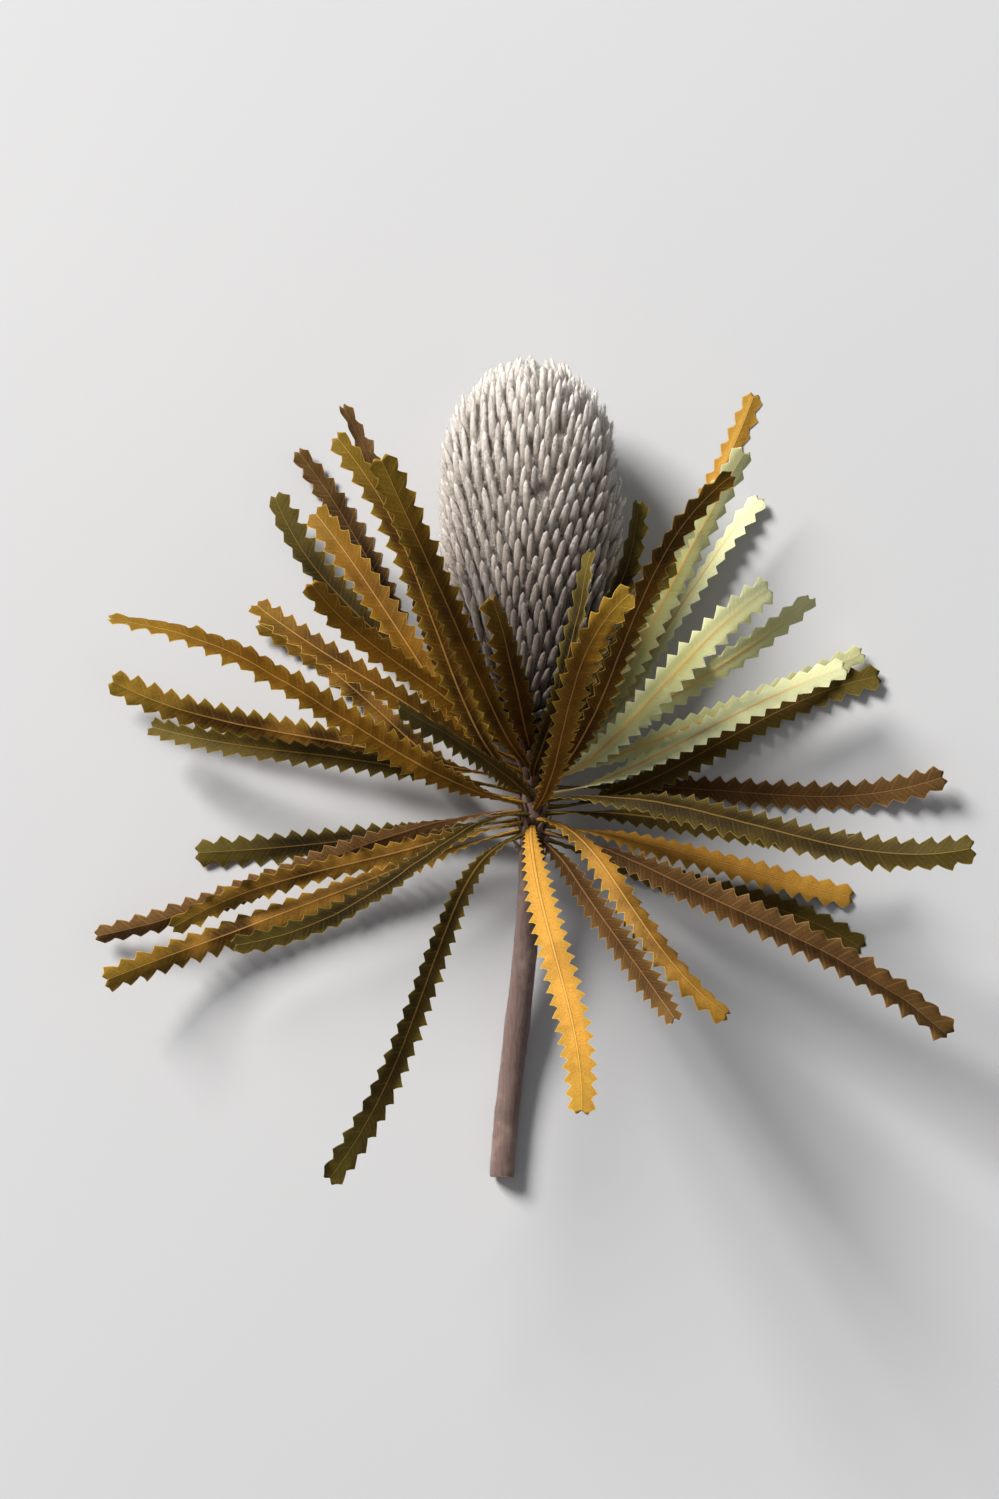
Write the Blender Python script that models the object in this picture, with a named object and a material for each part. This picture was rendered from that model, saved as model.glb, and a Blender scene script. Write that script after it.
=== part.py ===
"""A dried banksia as picked: its velvety flower cone, the woody stem it grew on and the saw-edged
leaves below the cone. It lies on a flat surface at z = 0, with the cone's tip towards +Y.
"""

import bisect
import math
import random

import bmesh
import bpy
from mathutils import Vector

MM = 0.001

# The cone, measured over the tips of its florets
CONE_LENGTH = 138 * MM
CONE_RADIUS = 33 * MM
TIP_DOME = 47 * MM
BASE_DOME = 27 * MM
BASE_TAPER = 0.12
BELLY_AT = 82 * MM
SLOPE_STEP = 0.02 * MM
HALVINGS = 40

# The florets stand in steep columns, which shallow spirals cross
COLUMNS = 40
SPIRALS = 14
FLORET_STEP = 5.5 * MM
COLUMN_LEAN = math.radians(2.87)
FLORET_RELIEF = 3.2 * MM
BASE_CLEAR_RADIUS = 10 * MM
TIP_CLEAR_RADIUS = 5 * MM

# A floret's back and tip: how far across and up its cell, and how far out of the relief
FLORET_BACK = (0.42, 0.27, 0.75)
FLORET_TIP = (0.64, 0.9, 1.0)

# How it lies: the cone's axis rises towards its tip, and the florets under it are pressed flat
TILT = math.radians(2.8)
PRESSED_DEPTH = 1.9 * MM
GAP = 0.3 * MM

# The stem, thinnest at its neck and a little swollen where each year's growth ended
STEM_LENGTH = 172 * MM
STEM_RADIUS = 4.7 * MM
STEM_NECK_RADIUS = 4.2 * MM
STEM_NECK_SHARE = 0.35
STEM_SWELLING = 0.35 * MM
GROWTH_ENDS = (0.3, 0.66)
GROWTH_END_SHARE = 0.035
STEM_SETTLES_AT = 0.9
STEM_DRIFT = 11.2 * MM
STEM_BOW = 3.5 * MM
STEM_SIDES = 12
STEM_RINGS = 15

# The leaves, from the youngest under the cone to the oldest down the stem
LEAF_COUNT = 44
LEAF_SEED = 1230
LEAF_ZONE = (3.5 * MM, 43 * MM)
LEAF_LENGTH = (118 * MM, 182 * MM)
LEAF_WIDTH = (10 * MM, 14.5 * MM)
LEAF_THICKNESS = 0.6 * MM
LEAF_LEAN = (math.radians(24), math.radians(132))
LEAN_SPREAD = math.radians(10)
YOUNG_CROWDING = 1.35
LOWEST_SIDE = math.radians(-40)
UPPER_SINE = (0.25, 0.85)
UPPER_AGE = 0.45
UPPER_SHORTER = 0.55
UPPER_SPREAD = math.radians(30)
SAGE_AGE = 0.62
SAGE_SIDES = (-0.5, 0.8)
GOLD_SHARE = 0.5
OLIVE_SHARE = 0.3

# A leaf's line: it leaves the stem steeply, turns to its own heading, bends, sinks and turns over
SPINE_STEPS = 60
START_LEAN = 0.5
RISE_KEPT = 0.6
FALL_KEPT = 0.35
TURNED_BY = 0.3
DROOP = (-0.3, 0.7)
SWAY = 0.5
CURL = 0.6
ROLL = math.radians(40)
TWIST = math.radians(75)
TURN_EASE = 0.16
LEVEL_BY = 0.2
CLEAR_OF_CONE = (0.5 * MM, 9.5 * MM)
CLEAR_BY = 0.1
SETTLE = 16 * MM

# A leaf's outline: narrow at its base, widest past the middle, with a blunt end
BASE_WIDTH = 0.2
WIDEST_AT = 0.62
END_WIDTH = 0.62
BLUNT_END = 0.07

# A leaf's edge, cut into teeth that point a little forward
PETIOLE_SHARE = 0.045
TOOTH_PITCH = 10 * MM
TOOTH_DEPTH = 0.38
TOOTH_REACH = 0.64
TEETH_FULL_BY = 0.1

GOLDEN_ANGLE = math.pi * (3 - math.sqrt(5))
SIDE = Vector((1, 0, 0))
AXIS = Vector((0, math.cos(TILT), math.sin(TILT)))
UPRIGHT = Vector((0, -math.sin(TILT), math.cos(TILT)))
UP = Vector((0, 0, 1))


def mix(low, high, share):
    return low + (high - low) * share


def smooth(x):
    x = min(max(x, 0.0), 1.0)
    return x * x * (3 - 2 * x)


def rounded(x):
    """A quarter circle's height, from 0 at x = 0 to 1 at x = 1 and beyond."""
    x = min(max(x, 0.0), 1.0)
    return math.sqrt(1 - (1 - x) ** 2)


CORE_LENGTH = CONE_LENGTH - FLORET_RELIEF
CORE_RADIUS = CONE_RADIUS - FLORET_RELIEF


def core_radius(t):
    """The radius between the florets, at t along the cone's axis from base to tip."""
    taper = 1 - BASE_TAPER * (1 - smooth(t / BELLY_AT))
    return CORE_RADIUS * taper * rounded(t / BASE_DOME) * rounded((CORE_LENGTH - t) / TIP_DOME)


def core_slope(t):
    return (core_radius(t + SLOPE_STEP) - core_radius(t - SLOPE_STEP)) / (2 * SLOPE_STEP)


def core_profile(samples=600):
    """Distances along the core's side from base to tip, with the axis distance at each."""
    arcs, ts = [0.0], [0.0]
    for k in range(1, samples + 1):
        t = CORE_LENGTH * (1 - math.cos(math.pi * k / samples)) / 2
        across = core_radius(t) - core_radius(ts[-1])
        arcs.append(arcs[-1] + math.hypot(t - ts[-1], across))
        ts.append(t)
    return arcs, ts


ARCS, ARC_TS = core_profile()


def axis_distance(arc):
    """The distance along the axis at this distance along the core's side."""
    k = min(max(bisect.bisect_right(ARCS, arc), 1), len(ARCS) - 1)
    share = (arc - ARCS[k - 1]) / (ARCS[k] - ARCS[k - 1])
    return mix(ARC_TS[k - 1], ARC_TS[k], share)


def resting_place():
    """The axis distance at which the leaning cone's underside is lowest."""
    low, high = BELLY_AT / 2, BELLY_AT
    for _ in range(HALVINGS):
        middle = (low + high) / 2
        if core_slope(middle) > math.tan(TILT):
            low = middle
        else:
            high = middle
    return low


REST_AT = resting_place()
REST_DEPTH = core_radius(REST_AT) + FLORET_RELIEF / math.cos(TILT) - PRESSED_DEPTH
BASE = UPRIGHT * REST_DEPTH - AXIS * REST_AT


def around(angle):
    """The direction away from the cone's axis at this angle, from +X towards the top."""
    return SIDE * math.cos(angle) + UPRIGHT * math.sin(angle)


def floret_place(column, step):
    """The axis distance and angle of a place in the pattern of columns and spirals."""
    arc = FLORET_STEP * (step + column * SPIRALS / COLUMNS)
    angle = step * COLUMN_LEAN - column * (2 * math.pi - SPIRALS * COLUMN_LEAN) / COLUMNS
    return axis_distance(arc), angle


def on_cone(t, angle, height):
    """A point at this height over the core, with what nears the surface pressed on to it."""
    normal = (around(angle) - AXIS * core_slope(t)).normalized()
    point = BASE + AXIS * t + around(angle) * core_radius(t) + normal * height
    if point.z < PRESSED_DEPTH:
        point.z = 0
    return point


def close_end(mesh, near_base, centre):
    """Closes the open ring at one end of the cone with a fan of triangles."""
    rims = [edge for edge in mesh.edges if edge.is_boundary]
    middle = (BASE + AXIS * (CONE_LENGTH / 2)).dot(AXIS)
    ring = [edge for edge in rims if (edge.verts[0].co.dot(AXIS) < middle) == near_base]
    hub = mesh.verts.new(centre)
    for edge in ring:
        mesh.faces.new((edge.verts[0], edge.verts[1], hub))


def cone_mesh():
    """The flower cone: in each cell of the pattern a floret climbs to its free tip."""
    mesh = bmesh.new()
    valleys = {}

    def valley(column, step):
        turns, column = divmod(column, COLUMNS)
        step += turns * SPIRALS
        if (column, step) not in valleys:
            t, angle = floret_place(column, step)
            valleys[column, step] = mesh.verts.new(on_cone(t, angle, 0))
        return valleys[column, step]

    def is_covered(column, step):
        t, _ = floret_place(column, step)
        clear = BASE_CLEAR_RADIUS if t < CORE_LENGTH / 2 else TIP_CLEAR_RADIUS
        return 0 < t < CORE_LENGTH and core_radius(t) > clear

    steps = range(-SPIRALS - 1, math.ceil(ARCS[-1] / FLORET_STEP) + 1)
    for column in range(COLUMNS):
        for step in steps:
            corners = [(column, step), (column + 1, step), (column + 1, step + 1), (column, step + 1)]
            if not all(is_covered(*corner) for corner in corners):
                continue
            low, right, high, left = (valley(*corner) for corner in corners)
            back, tip = (
                mesh.verts.new(on_cone(*floret_place(column + across, step + up), FLORET_RELIEF * out))
                for across, up, out in (FLORET_BACK, FLORET_TIP)
            )
            for face in (
                (low, right, back),
                (low, back, left),
                (right, tip, back),
                (left, back, tip),
                (right, high, tip),
                (high, left, tip),
            ):
                mesh.faces.new(face)
    close_end(mesh, True, BASE)
    close_end(mesh, False, BASE + AXIS * (CORE_LENGTH + FLORET_RELIEF / 2))
    return mesh


def stem_line(s):
    """The stem's centre at this distance below the cone: it sinks gently on to the surface."""
    start = BASE - AXIS * GAP
    reach = STEM_SETTLES_AT * STEM_LENGTH
    share = min(s / reach, 1.0)
    drop = start.z - STEM_RADIUS
    slope = math.sin(TILT) * reach
    height = start.z - slope * share - (3 * drop - 2 * slope) * share**2 + (2 * drop - slope) * share**3
    along = s / STEM_LENGTH
    sway = STEM_BOW * math.sin(math.pi * along) - STEM_DRIFT * smooth(along)
    return Vector((sway, start.y - s * math.cos(TILT), height))


def stem_radius(s):
    ends = sum(math.exp(-(((s / STEM_LENGTH - at) / GROWTH_END_SHARE) ** 2)) for at in GROWTH_ENDS)
    past_neck = smooth(s / (STEM_NECK_SHARE * STEM_LENGTH))
    return mix(STEM_NECK_RADIUS, STEM_RADIUS, past_neck) + STEM_SWELLING * ends


def stem_mesh():
    """The cut stem, a bent tube of rings with a flat end at the neck and at the cut."""
    mesh = bmesh.new()
    rings = []
    for k in range(STEM_RINGS):
        s = STEM_LENGTH * k / (STEM_RINGS - 1)
        along = (stem_line(s + MM / 2) - stem_line(s - MM / 2)).normalized() if k else -AXIS
        across = along.cross(UP).normalized()
        above = across.cross(along)
        ring = []
        for j in range(STEM_SIDES):
            angle = 2 * math.pi * (j + 0.5) / STEM_SIDES
            offset = across * math.cos(angle) + above * math.sin(angle)
            vert = mesh.verts.new(stem_line(s) + offset * stem_radius(s))
            vert.co.z = max(vert.co.z, 0)
            ring.append(vert)
        rings.append(ring)
    for first, second in zip(rings, rings[1:]):
        for j in range(STEM_SIDES):
            k = (j + 1) % STEM_SIDES
            mesh.faces.new((first[j], first[k], second[k], second[j]))
    mesh.faces.new(rings[0])
    mesh.faces.new(rings[-1])
    return mesh


def leaf_colour(age, angle, chance):
    """Sage green in a fan on the right, and elsewhere the golds and browns of dried leaves."""
    if age < SAGE_AGE and SAGE_SIDES[0] < angle < SAGE_SIDES[1]:
        return "leaf_sage"
    if chance < GOLD_SHARE:
        return "leaf_gold"
    return "leaf_olive" if chance < GOLD_SHARE + OLIVE_SHARE else "leaf_brown"


def leaf_plans():
    """Where each leaf grows and how it is shaped."""
    draw = random.Random(LEAF_SEED)
    plans = []
    for i in range(LEAF_COUNT):
        age = i / (LEAF_COUNT - 1)
        turn = (i * GOLDEN_ANGLE / (2 * math.pi)) % 1
        angle = mix(LOWEST_SIDE, math.pi - LOWEST_SIDE, turn)
        raised = (math.sin(angle) - UPPER_SINE[0]) / (UPPER_SINE[1] - UPPER_SINE[0])
        upper = smooth(raised) * (1 - smooth(age / UPPER_AGE))
        plans.append(
            {
                "below": mix(*LEAF_ZONE, age),
                "angle": angle,
                "lean": mix(*LEAF_LEAN, age**YOUNG_CROWDING)
                + UPPER_SPREAD * upper
                + draw.uniform(-1, 1) * LEAN_SPREAD,
                "length": mix(*LEAF_LENGTH, draw.random()) * (1 - UPPER_SHORTER * upper),
                "width": mix(*LEAF_WIDTH, draw.random()),
                "droop": draw.uniform(*DROOP),
                "sway": draw.uniform(-1, 1) * SWAY,
                "curl": draw.uniform(-1, 1) * CURL,
                "roll": draw.uniform(-1, 1) * ROLL,
                "twist": draw.uniform(-1, 1) * TWIST,
                "clear": mix(*CLEAR_OF_CONE, age),
                "colour": leaf_colour(age, angle, draw.random()),
            }
        )
    return plans


def off_cone(point):
    """The distance from a capsule that holds the cone, and the direction away from it."""
    t = (point - BASE).dot(AXIS)
    nearest = BASE + AXIS * min(max(t, CONE_RADIUS), CONE_LENGTH - CONE_RADIUS)
    away = point - nearest
    return away.length - CONE_RADIUS, away.normalized()


def half_width(plan, u):
    """Half the blade's width over its teeth, at share u of its length."""
    swell = mix(BASE_WIDTH, 1, smooth(u / WIDEST_AT))
    end = mix(END_WIDTH, 1, rounded((1 - u) / BLUNT_END))
    return plan["width"] / 2 * swell * end


def leaf_spine(plan):
    """The leaf's midrib: a list of (point, direction, width direction) at equal steps."""
    outward = around(plan["angle"])
    first = (AXIS * math.cos(plan["lean"]) * START_LEAN + outward).normalized()
    heading = AXIS * math.cos(plan["lean"]) + outward * math.sin(plan["lean"])
    heading.z *= RISE_KEPT if heading.z > 0 else FALL_KEPT
    heading.normalize()
    level = heading.cross(UP).normalized()
    width = AXIS.cross(outward)
    point = stem_line(plan["below"]) + outward * (stem_radius(plan["below"]) + 2 * GAP)
    step = plan["length"] / SPINE_STEPS
    spine = []
    for k in range(SPINE_STEPS + 1):
        u = k / SPINE_STEPS
        direction = first.lerp(heading, smooth(u / TURNED_BY)).normalized()
        direction -= UP * plan["droop"] * u * u
        direction += level * plan["sway"] * math.sin(math.pi * u)
        direction += direction.cross(level) * plan["curl"] * u**3
        direction.normalize()
        gap, away = off_cone(point)
        gap -= half_width(plan, u) + plan["clear"] * smooth(u / CLEAR_BY)
        direction += away * max(0.0, -gap / SETTLE - direction.dot(away))
        height = point.z - LEAF_THICKNESS
        direction.z = max(direction.z, -height / SETTLE)
        direction.normalize()
        flat = direction.cross(UP).normalized()
        if flat.dot(width) < 0:
            flat.negate()
        room = math.asin(min(1.0, max(0.0, height) / half_width(plan, u)))
        roll = max(-room, min(room, plan["roll"] + plan["twist"] * (u - 0.5)))
        turned = flat * math.cos(roll) + direction.cross(flat) * math.sin(roll)
        width = width.lerp(turned, TURN_EASE * smooth(u / LEVEL_BY))
        width = (width - direction * width.dot(direction)).normalized()
        spine.append((point.copy(), direction.copy(), width))
        point = point + direction * step
    return spine


def along_spine(spine, u):
    """The midrib's (point, direction, width direction) at share u of its length."""
    place = min(max(u, 0.0), 1.0) * SPINE_STEPS
    k = min(int(place), SPINE_STEPS - 1)
    return tuple(a.lerp(b, place - k) for a, b in zip(spine[k], spine[k + 1]))


def leaf_mesh(plan):
    """A thin blade whose two edges are cut into forward-pointing teeth."""
    spine = leaf_spine(plan)
    teeth = round(plan["length"] * (1 - PETIOLE_SHARE) / TOOTH_PITCH)
    mesh = bmesh.new()

    def edge_pair(u, share):
        """The upper and lower vertex at the left edge, then at the right."""
        point, direction, width = along_spine(spine, u)
        reach = width * half_width(plan, u) * share
        lift = direction.cross(width).normalized() * LEAF_THICKNESS / 2
        pairs = []
        for side in (-reach, reach):
            corner = point + side
            corner.z = max(corner.z, abs(lift.z))
            pairs.append((mesh.verts.new(corner + lift), mesh.verts.new(corner - lift)))
        return pairs

    stations = [edge_pair(0, 1)]
    for k in range(teeth + 1):
        u = mix(PETIOLE_SHARE, 1, k / teeth)
        stations.append(edge_pair(u, 1 - TOOTH_DEPTH * smooth(u / TEETH_FULL_BY)))
    tips = [None]
    for k in range(teeth):
        tips.append(edge_pair(mix(PETIOLE_SHARE, 1, (k + TOOTH_REACH) / teeth), 1))

    def rim(first, second):
        mesh.faces.new((first[0], second[0], second[1], first[1]))

    for k, (first, second) in enumerate(zip(stations, stations[1:])):
        for face in (0, 1):
            a, b = first[0][face], first[1][face]
            c, d = second[1][face], second[0][face]
            mesh.faces.new((a, b, c))
            mesh.faces.new((a, c, d))
        for edge in (0, 1):
            if tips[k] is None:
                rim(first[edge], second[edge])
                continue
            tooth = tips[k][edge]
            for face in (0, 1):
                mesh.faces.new((first[edge][face], tooth[face], second[edge][face]))
            rim(first[edge], tooth)
            rim(tooth, second[edge])
    rim(stations[0][0], stations[0][1])
    rim(stations[-1][0], stations[-1][1])
    return mesh


def finish_material(name, colour, roughness):
    material = bpy.data.materials.new(name)
    material.use_nodes = True
    shader = material.node_tree.nodes["Principled BSDF"]
    shader.inputs["Base Color"].default_value = (*colour, 1)
    shader.inputs["Roughness"].default_value = roughness
    shader.inputs["Metallic"].default_value = 0
    return material


def add_part(name, mesh, material):
    """Makes one object of the finished shape, with its faces outwards."""
    bmesh.ops.recalc_face_normals(mesh, faces=mesh.faces)
    data = bpy.data.meshes.new(name)
    mesh.to_mesh(data)
    mesh.free()
    data.materials.append(material)
    bpy.context.scene.collection.objects.link(bpy.data.objects.new(name, data))


def main():
    for old in list(bpy.data.objects):
        bpy.data.objects.remove(old)
    materials = {
        "velvet": finish_material("cone_velvet", (0.42, 0.37, 0.35), 0.95),
        "bark": finish_material("stem_bark", (0.2, 0.13, 0.11), 0.9),
        "leaf_gold": finish_material("leaf_gold", (0.5, 0.31, 0.07), 0.55),
        "leaf_olive": finish_material("leaf_olive", (0.14, 0.11, 0.025), 0.55),
        "leaf_brown": finish_material("leaf_brown", (0.33, 0.2, 0.1), 0.6),
        "leaf_sage": finish_material("leaf_sage", (0.53, 0.56, 0.3), 0.6),
    }
    add_part("cone", cone_mesh(), materials["velvet"])
    add_part("stem", stem_mesh(), materials["bark"])
    for i, plan in enumerate(leaf_plans()):
        add_part(f"leaf_{i + 1:02d}", leaf_mesh(plan), materials[plan["colour"]])


main()
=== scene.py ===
"""The looks of a dried banksia as picked, lying on a pale surface.

Velvety florets and their hairs, wool at the tip, a downy stem and dry saw-edged leaves. Each piece is built
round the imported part, which is the frame.
"""

import bisect
import math
import random

import bpy
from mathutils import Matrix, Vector, noise

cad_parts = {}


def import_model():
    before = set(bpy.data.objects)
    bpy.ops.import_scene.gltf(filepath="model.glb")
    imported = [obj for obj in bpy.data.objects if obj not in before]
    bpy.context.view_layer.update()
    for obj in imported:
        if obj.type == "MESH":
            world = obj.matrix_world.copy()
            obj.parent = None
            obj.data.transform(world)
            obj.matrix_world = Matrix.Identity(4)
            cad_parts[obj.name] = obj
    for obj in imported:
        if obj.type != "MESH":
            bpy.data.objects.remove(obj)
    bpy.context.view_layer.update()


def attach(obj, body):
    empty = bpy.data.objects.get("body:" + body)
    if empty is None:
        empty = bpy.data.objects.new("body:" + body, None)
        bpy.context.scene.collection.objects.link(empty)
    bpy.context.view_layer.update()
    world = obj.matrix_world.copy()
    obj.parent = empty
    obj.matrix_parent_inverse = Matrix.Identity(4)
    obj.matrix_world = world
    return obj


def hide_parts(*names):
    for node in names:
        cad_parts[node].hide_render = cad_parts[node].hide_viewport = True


MM = 0.001

# The cone, as in the CAD source
CONE_LENGTH = 138 * MM
CONE_RADIUS = 33 * MM
TIP_DOME = 47 * MM
BASE_DOME = 27 * MM
BASE_TAPER = 0.12
BELLY_AT = 82 * MM
SLOPE_STEP = 0.02 * MM
HALVINGS = 40
FLORET_RELIEF = 3.2 * MM
TILT = math.radians(2.8)
PRESSED_DEPTH = 1.9 * MM
GAP = 0.3 * MM

# The stem, as in the CAD source
STEM_LENGTH = 172 * MM
STEM_RADIUS = 4.7 * MM
STEM_NECK_RADIUS = 4.2 * MM
STEM_NECK_SHARE = 0.35
STEM_SWELLING = 0.35 * MM
GROWTH_ENDS = (0.3, 0.66)
GROWTH_END_SHARE = 0.035
STEM_SETTLES_AT = 0.9
STEM_DRIFT = 11.2 * MM
STEM_BOW = 3.5 * MM

# The leaves, as in the CAD source
LEAF_COUNT = 44
LEAF_SEED = 1230
LEAF_ZONE = (3.5 * MM, 43 * MM)
LEAF_LENGTH = (118 * MM, 182 * MM)
LEAF_WIDTH = (10 * MM, 14.5 * MM)
LEAF_THICKNESS = 0.6 * MM
LEAF_LEAN = (math.radians(24), math.radians(132))
LEAN_SPREAD = math.radians(10)
YOUNG_CROWDING = 1.35
LOWEST_SIDE = math.radians(-40)
UPPER_SINE = (0.25, 0.85)
UPPER_AGE = 0.45
UPPER_SHORTER = 0.55
UPPER_SPREAD = math.radians(30)
SAGE_AGE = 0.62
SAGE_SIDES = (-0.5, 0.8)
GOLD_SHARE = 0.5
OLIVE_SHARE = 0.3
SPINE_STEPS = 60
START_LEAN = 0.5
RISE_KEPT = 0.6
FALL_KEPT = 0.35
TURNED_BY = 0.3
DROOP = (-0.3, 0.7)
SWAY = 0.5
CURL = 0.6
ROLL = math.radians(40)
TWIST = math.radians(75)
TURN_EASE = 0.16
LEVEL_BY = 0.2
CLEAR_OF_CONE = (0.5 * MM, 9.5 * MM)
CLEAR_BY = 0.1
SETTLE = 16 * MM
BASE_WIDTH = 0.2
WIDEST_AT = 0.62
END_WIDTH = 0.62
BLUNT_END = 0.07
PETIOLE_SHARE = 0.045

GOLDEN_ANGLE = math.pi * (3 - math.sqrt(5))
SIDE = Vector((1, 0, 0))
AXIS = Vector((0, math.cos(TILT), math.sin(TILT)))
UPRIGHT = Vector((0, -math.sin(TILT), math.cos(TILT)))
UP = Vector((0, 0, 1))

# Whatever would lie lower than this is pressed flat at this height
LOWEST = 0.05 * MM

# The cone's core, in rings of points, and the depth of the wool over it, at its base and its tip
CORE_START = 0.02 * MM
CORE_RINGS = 89
CORE_SIDES = 96
WOOL_DEPTH = (1.4 * MM, 2.3 * MM)

# The florets, in columns that slant round the cone. Steps and reach are measured along the core's side
FLORET_SEED = 7
COLUMNS = 37
SPIRALS = 13
MOST_STEPS = 60
FLORET_STEP = 5.6 * MM
COLUMN_LEAN = math.radians(3.5)
FLORET_REACH = 6.4 * MM
FLORET_ASLANT = 0.2 * MM
FIRST_TIP = FLORET_REACH + 1.5 * MM
LAST_TIP = 0.8 * MM
ROOT_HEIGHT = 0.4 * MM
TIP_HEIGHT = 3.4 * MM
LOST_FLORETS = 0.025

# The room for a floret is the core's radius there, as a share of this one and at most 1. With less room,
# florets are slimmer, and in the end every second one is left out
ROOMY_RADIUS = 17 * MM
THINNED_BELOW = 0.5
SLIMMEST = 0.55
FLORET_WIDTH = 1.7 * MM
WIDTH_SPREAD = (0.86, 1.1)

# Over this stretch of the cone's length florets come to rise more, ahead and outwards, and where room is
# short there they have a length of their own, by their room
RISE_FROM = 0.5
RISE_OVER = 0.4
RISE_AHEAD = 0.35
RISE_OUT_MM = 1.1
FREE_BELOW = 0.85
FREE_REACH_MM = (6.2, 7.8)

# Each floret leans a little its own way, drifts with its neighbours, and is paler towards the cone's tip:
# partly its own colour, and partly painted shade that darkens it lower down
STRAY_MM = 0.45
DRIFT_MM = 1.3
DRIFT_SCALE = 90
REACH_SPREAD = (0.9, 1.08)
PALING = 0.95
PALE_SPREAD = 0.12

# What is left of the width, squared, at a floret's tip and a blade's edge, so that neither is quite sharp
TIP_LEFT = 0.0005
EDGE_LEFT = 0.0001

# Kinds of hair: how many grow on a square metre, the size of one, how upright it stands and how untidily
HAIR_KINDS = {
    "floret_hair": {"Density": 2.2e6, "Length": 1.7 * MM, "Width": 0.055 * MM, "Lift": 0.5, "Untidy": 0.6},
    "core_down": {"Density": 2.15e6, "Length": 2.4 * MM, "Width": 0.05 * MM, "Lift": 0.55, "Untidy": 0.5},
    "tip_wool": {"Density": 5e7, "Length": 6.5 * MM, "Width": 0.06 * MM, "Lift": 0.5, "Untidy": 0.5},
    "stem_down": {"Density": 2.4e6, "Length": 0.6 * MM, "Width": 0.045 * MM, "Lift": 0.7, "Untidy": 0.6},
}
HAIR_WIDTH_SPREAD = (0.7, 1.3)
HAIR_LENGTH_SPREAD = (0.5, 1.25)
FLORET_HAIR_SEEDS = (11, 21, 31, 41)
CORE_HAIR_SEED = 5
STEM_HAIR_SEED = 31

# How thickly hairs grow at a point, and how long they are, as shares of what their kind has
FULL = (1.0, 1.0)
BARE = (0.0, 1.0)

# No hair grows on what lies nearer to the surface than this
UNPRESSED = 1 * MM
STEM_UNPRESSED = 0.5 * MM

# The florets' hair is a piece for each band of the cone's length
HAIR_BANDS = (0.0, 0.33, 0.55, 0.77, 1.1)

# It starts a little above a floret's root, is longer on pale florets and shorter towards each tip. It is
# thickest on a floret's sides, with none on its back, and thinner on the florets underneath
HAIR_FROM = 0.15
HAIR_OVER = 0.3
HAIR_STRETCH = (0.9, 1.8)
TIP_HAIR = 0.65
BACK_HAIR = 0.7
FRONT_HAIR = 0.4
UNDERSIDE_HAIR = 0.4
UPPER_BEGINS = 0.5

# The down on the core is thinner underneath, and the wool thins out and shortens away from the tip
UNDERSIDE_DOWN = 0.35
DOWN_BEGINS = 0.7
TIP_WOOL_RADIUS = 11 * MM
SHORT_WOOL = 0.5

# The leaves' detail. The drier a leaf, the more it curls, folds and narrows
LEAF_DETAIL_SEED = 21
TOOTH_PITCH = 5.9 * MM
FEWEST_TEETH = 8
BLADE_ROOT = 1.8 * MM
DRYNESS = {"leaf_sage": 0.35, "leaf_gold": 1.0, "leaf_olive": 0.8, "leaf_brown": 1.5}

# A blade is a grid: columns of points across it, the outermost for the teeth, and rows for each tooth and
# for the stalk
BLADE_COLUMNS = 13
TOOTH_COLUMNS = 2
COLUMN_CROWDING = 1.7
BODY_SHARE = (1 - 2 * TOOTH_COLUMNS / (BLADE_COLUMNS - 1)) ** COLUMN_CROWDING
TOOTH_ROWS = 6
TOOTH_TIP_ROW = 4
ROOT_ROWS = 5
EVEN_TEETH = 0.72
BLADE_LOWEST = 0.4 * MM
NOTCH_DEPTH = 1.3 * MM

# The midrib stands out less on a leaf's upper face than on its under face
UPPER_RIB = 0.45
UNDER_RIB = 1.0

# The two faces meet all round, and points nearer to each other than this become one
WELD = 0.004 * MM

# The marks on a leaf: the midrib's half width in millimetres, less towards the end, a painted shadow beside
# it, and side veins, whose slant and number go by the tooth
MIDRIB_HALF_WIDTH = 0.55
MIDRIB_TAPER = 0.32
RIB_SHADOW_AT = 1.2
VEIN_SLANT = 0.75
VEIN_SHIFT = 0.11
VEINS_TO_A_TOOTH = 3
LESSER_VEIN = 0.4
NET_SCALE = 1500.0

# How strongly the marks and the painted shadow beside the midrib show, and how much leaves of one colour
# differ: partly in their own tone and partly by painted shade
BLOTCH_TONE = 0.55
FIBRE_TONE = 0.9
NET_TONE = 0.06
RIB_SHADOW_TONE = 0.6
RIB_FADES = 0.6
PALE_LEAVES = 0.36
DARK_SPREAD = 1.1
LEAST_GREEN = 0.2
GREEN_SPREAD = 0.6

# The bark, and the cut end that closes it
STEM_STEPS = 120
STEM_ROOT = 2.5 * MM
BARK_SHARE = 0.985
BARK_END_SHARE = 0.96
CUT_RINGS = 10
CUT_SIDES = 32
CUT_SHARE = 0.93
CUT_DOME = 0.25 * MM
CUT_SKIRT = 0.6 * MM

# The dry scales, which lean out less and are shorter further down the stem
SCALE_SEED = 4
SCALE_COUNT = 90
SCALE_ZONE = (0.5 * MM, 50 * MM)
SCALE_CROWDING = 1.5
SCALE_LEAN = (math.radians(72), math.radians(30))
UPRIGHT_BY = 20 * MM
SCALE_STRAY = 0.15
SCALE_LENGTH = (9.0 * MM, 5.0 * MM)
SHORT_BY = 25 * MM
SCALE_LENGTH_SPREAD = (0.8, 1.25)
SCALE_ROOT = 0.4 * MM
SCALE_WIDTH = 1.5 * MM
SCALE_WIDTH_SPREAD = (0.8, 1.2)
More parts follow.
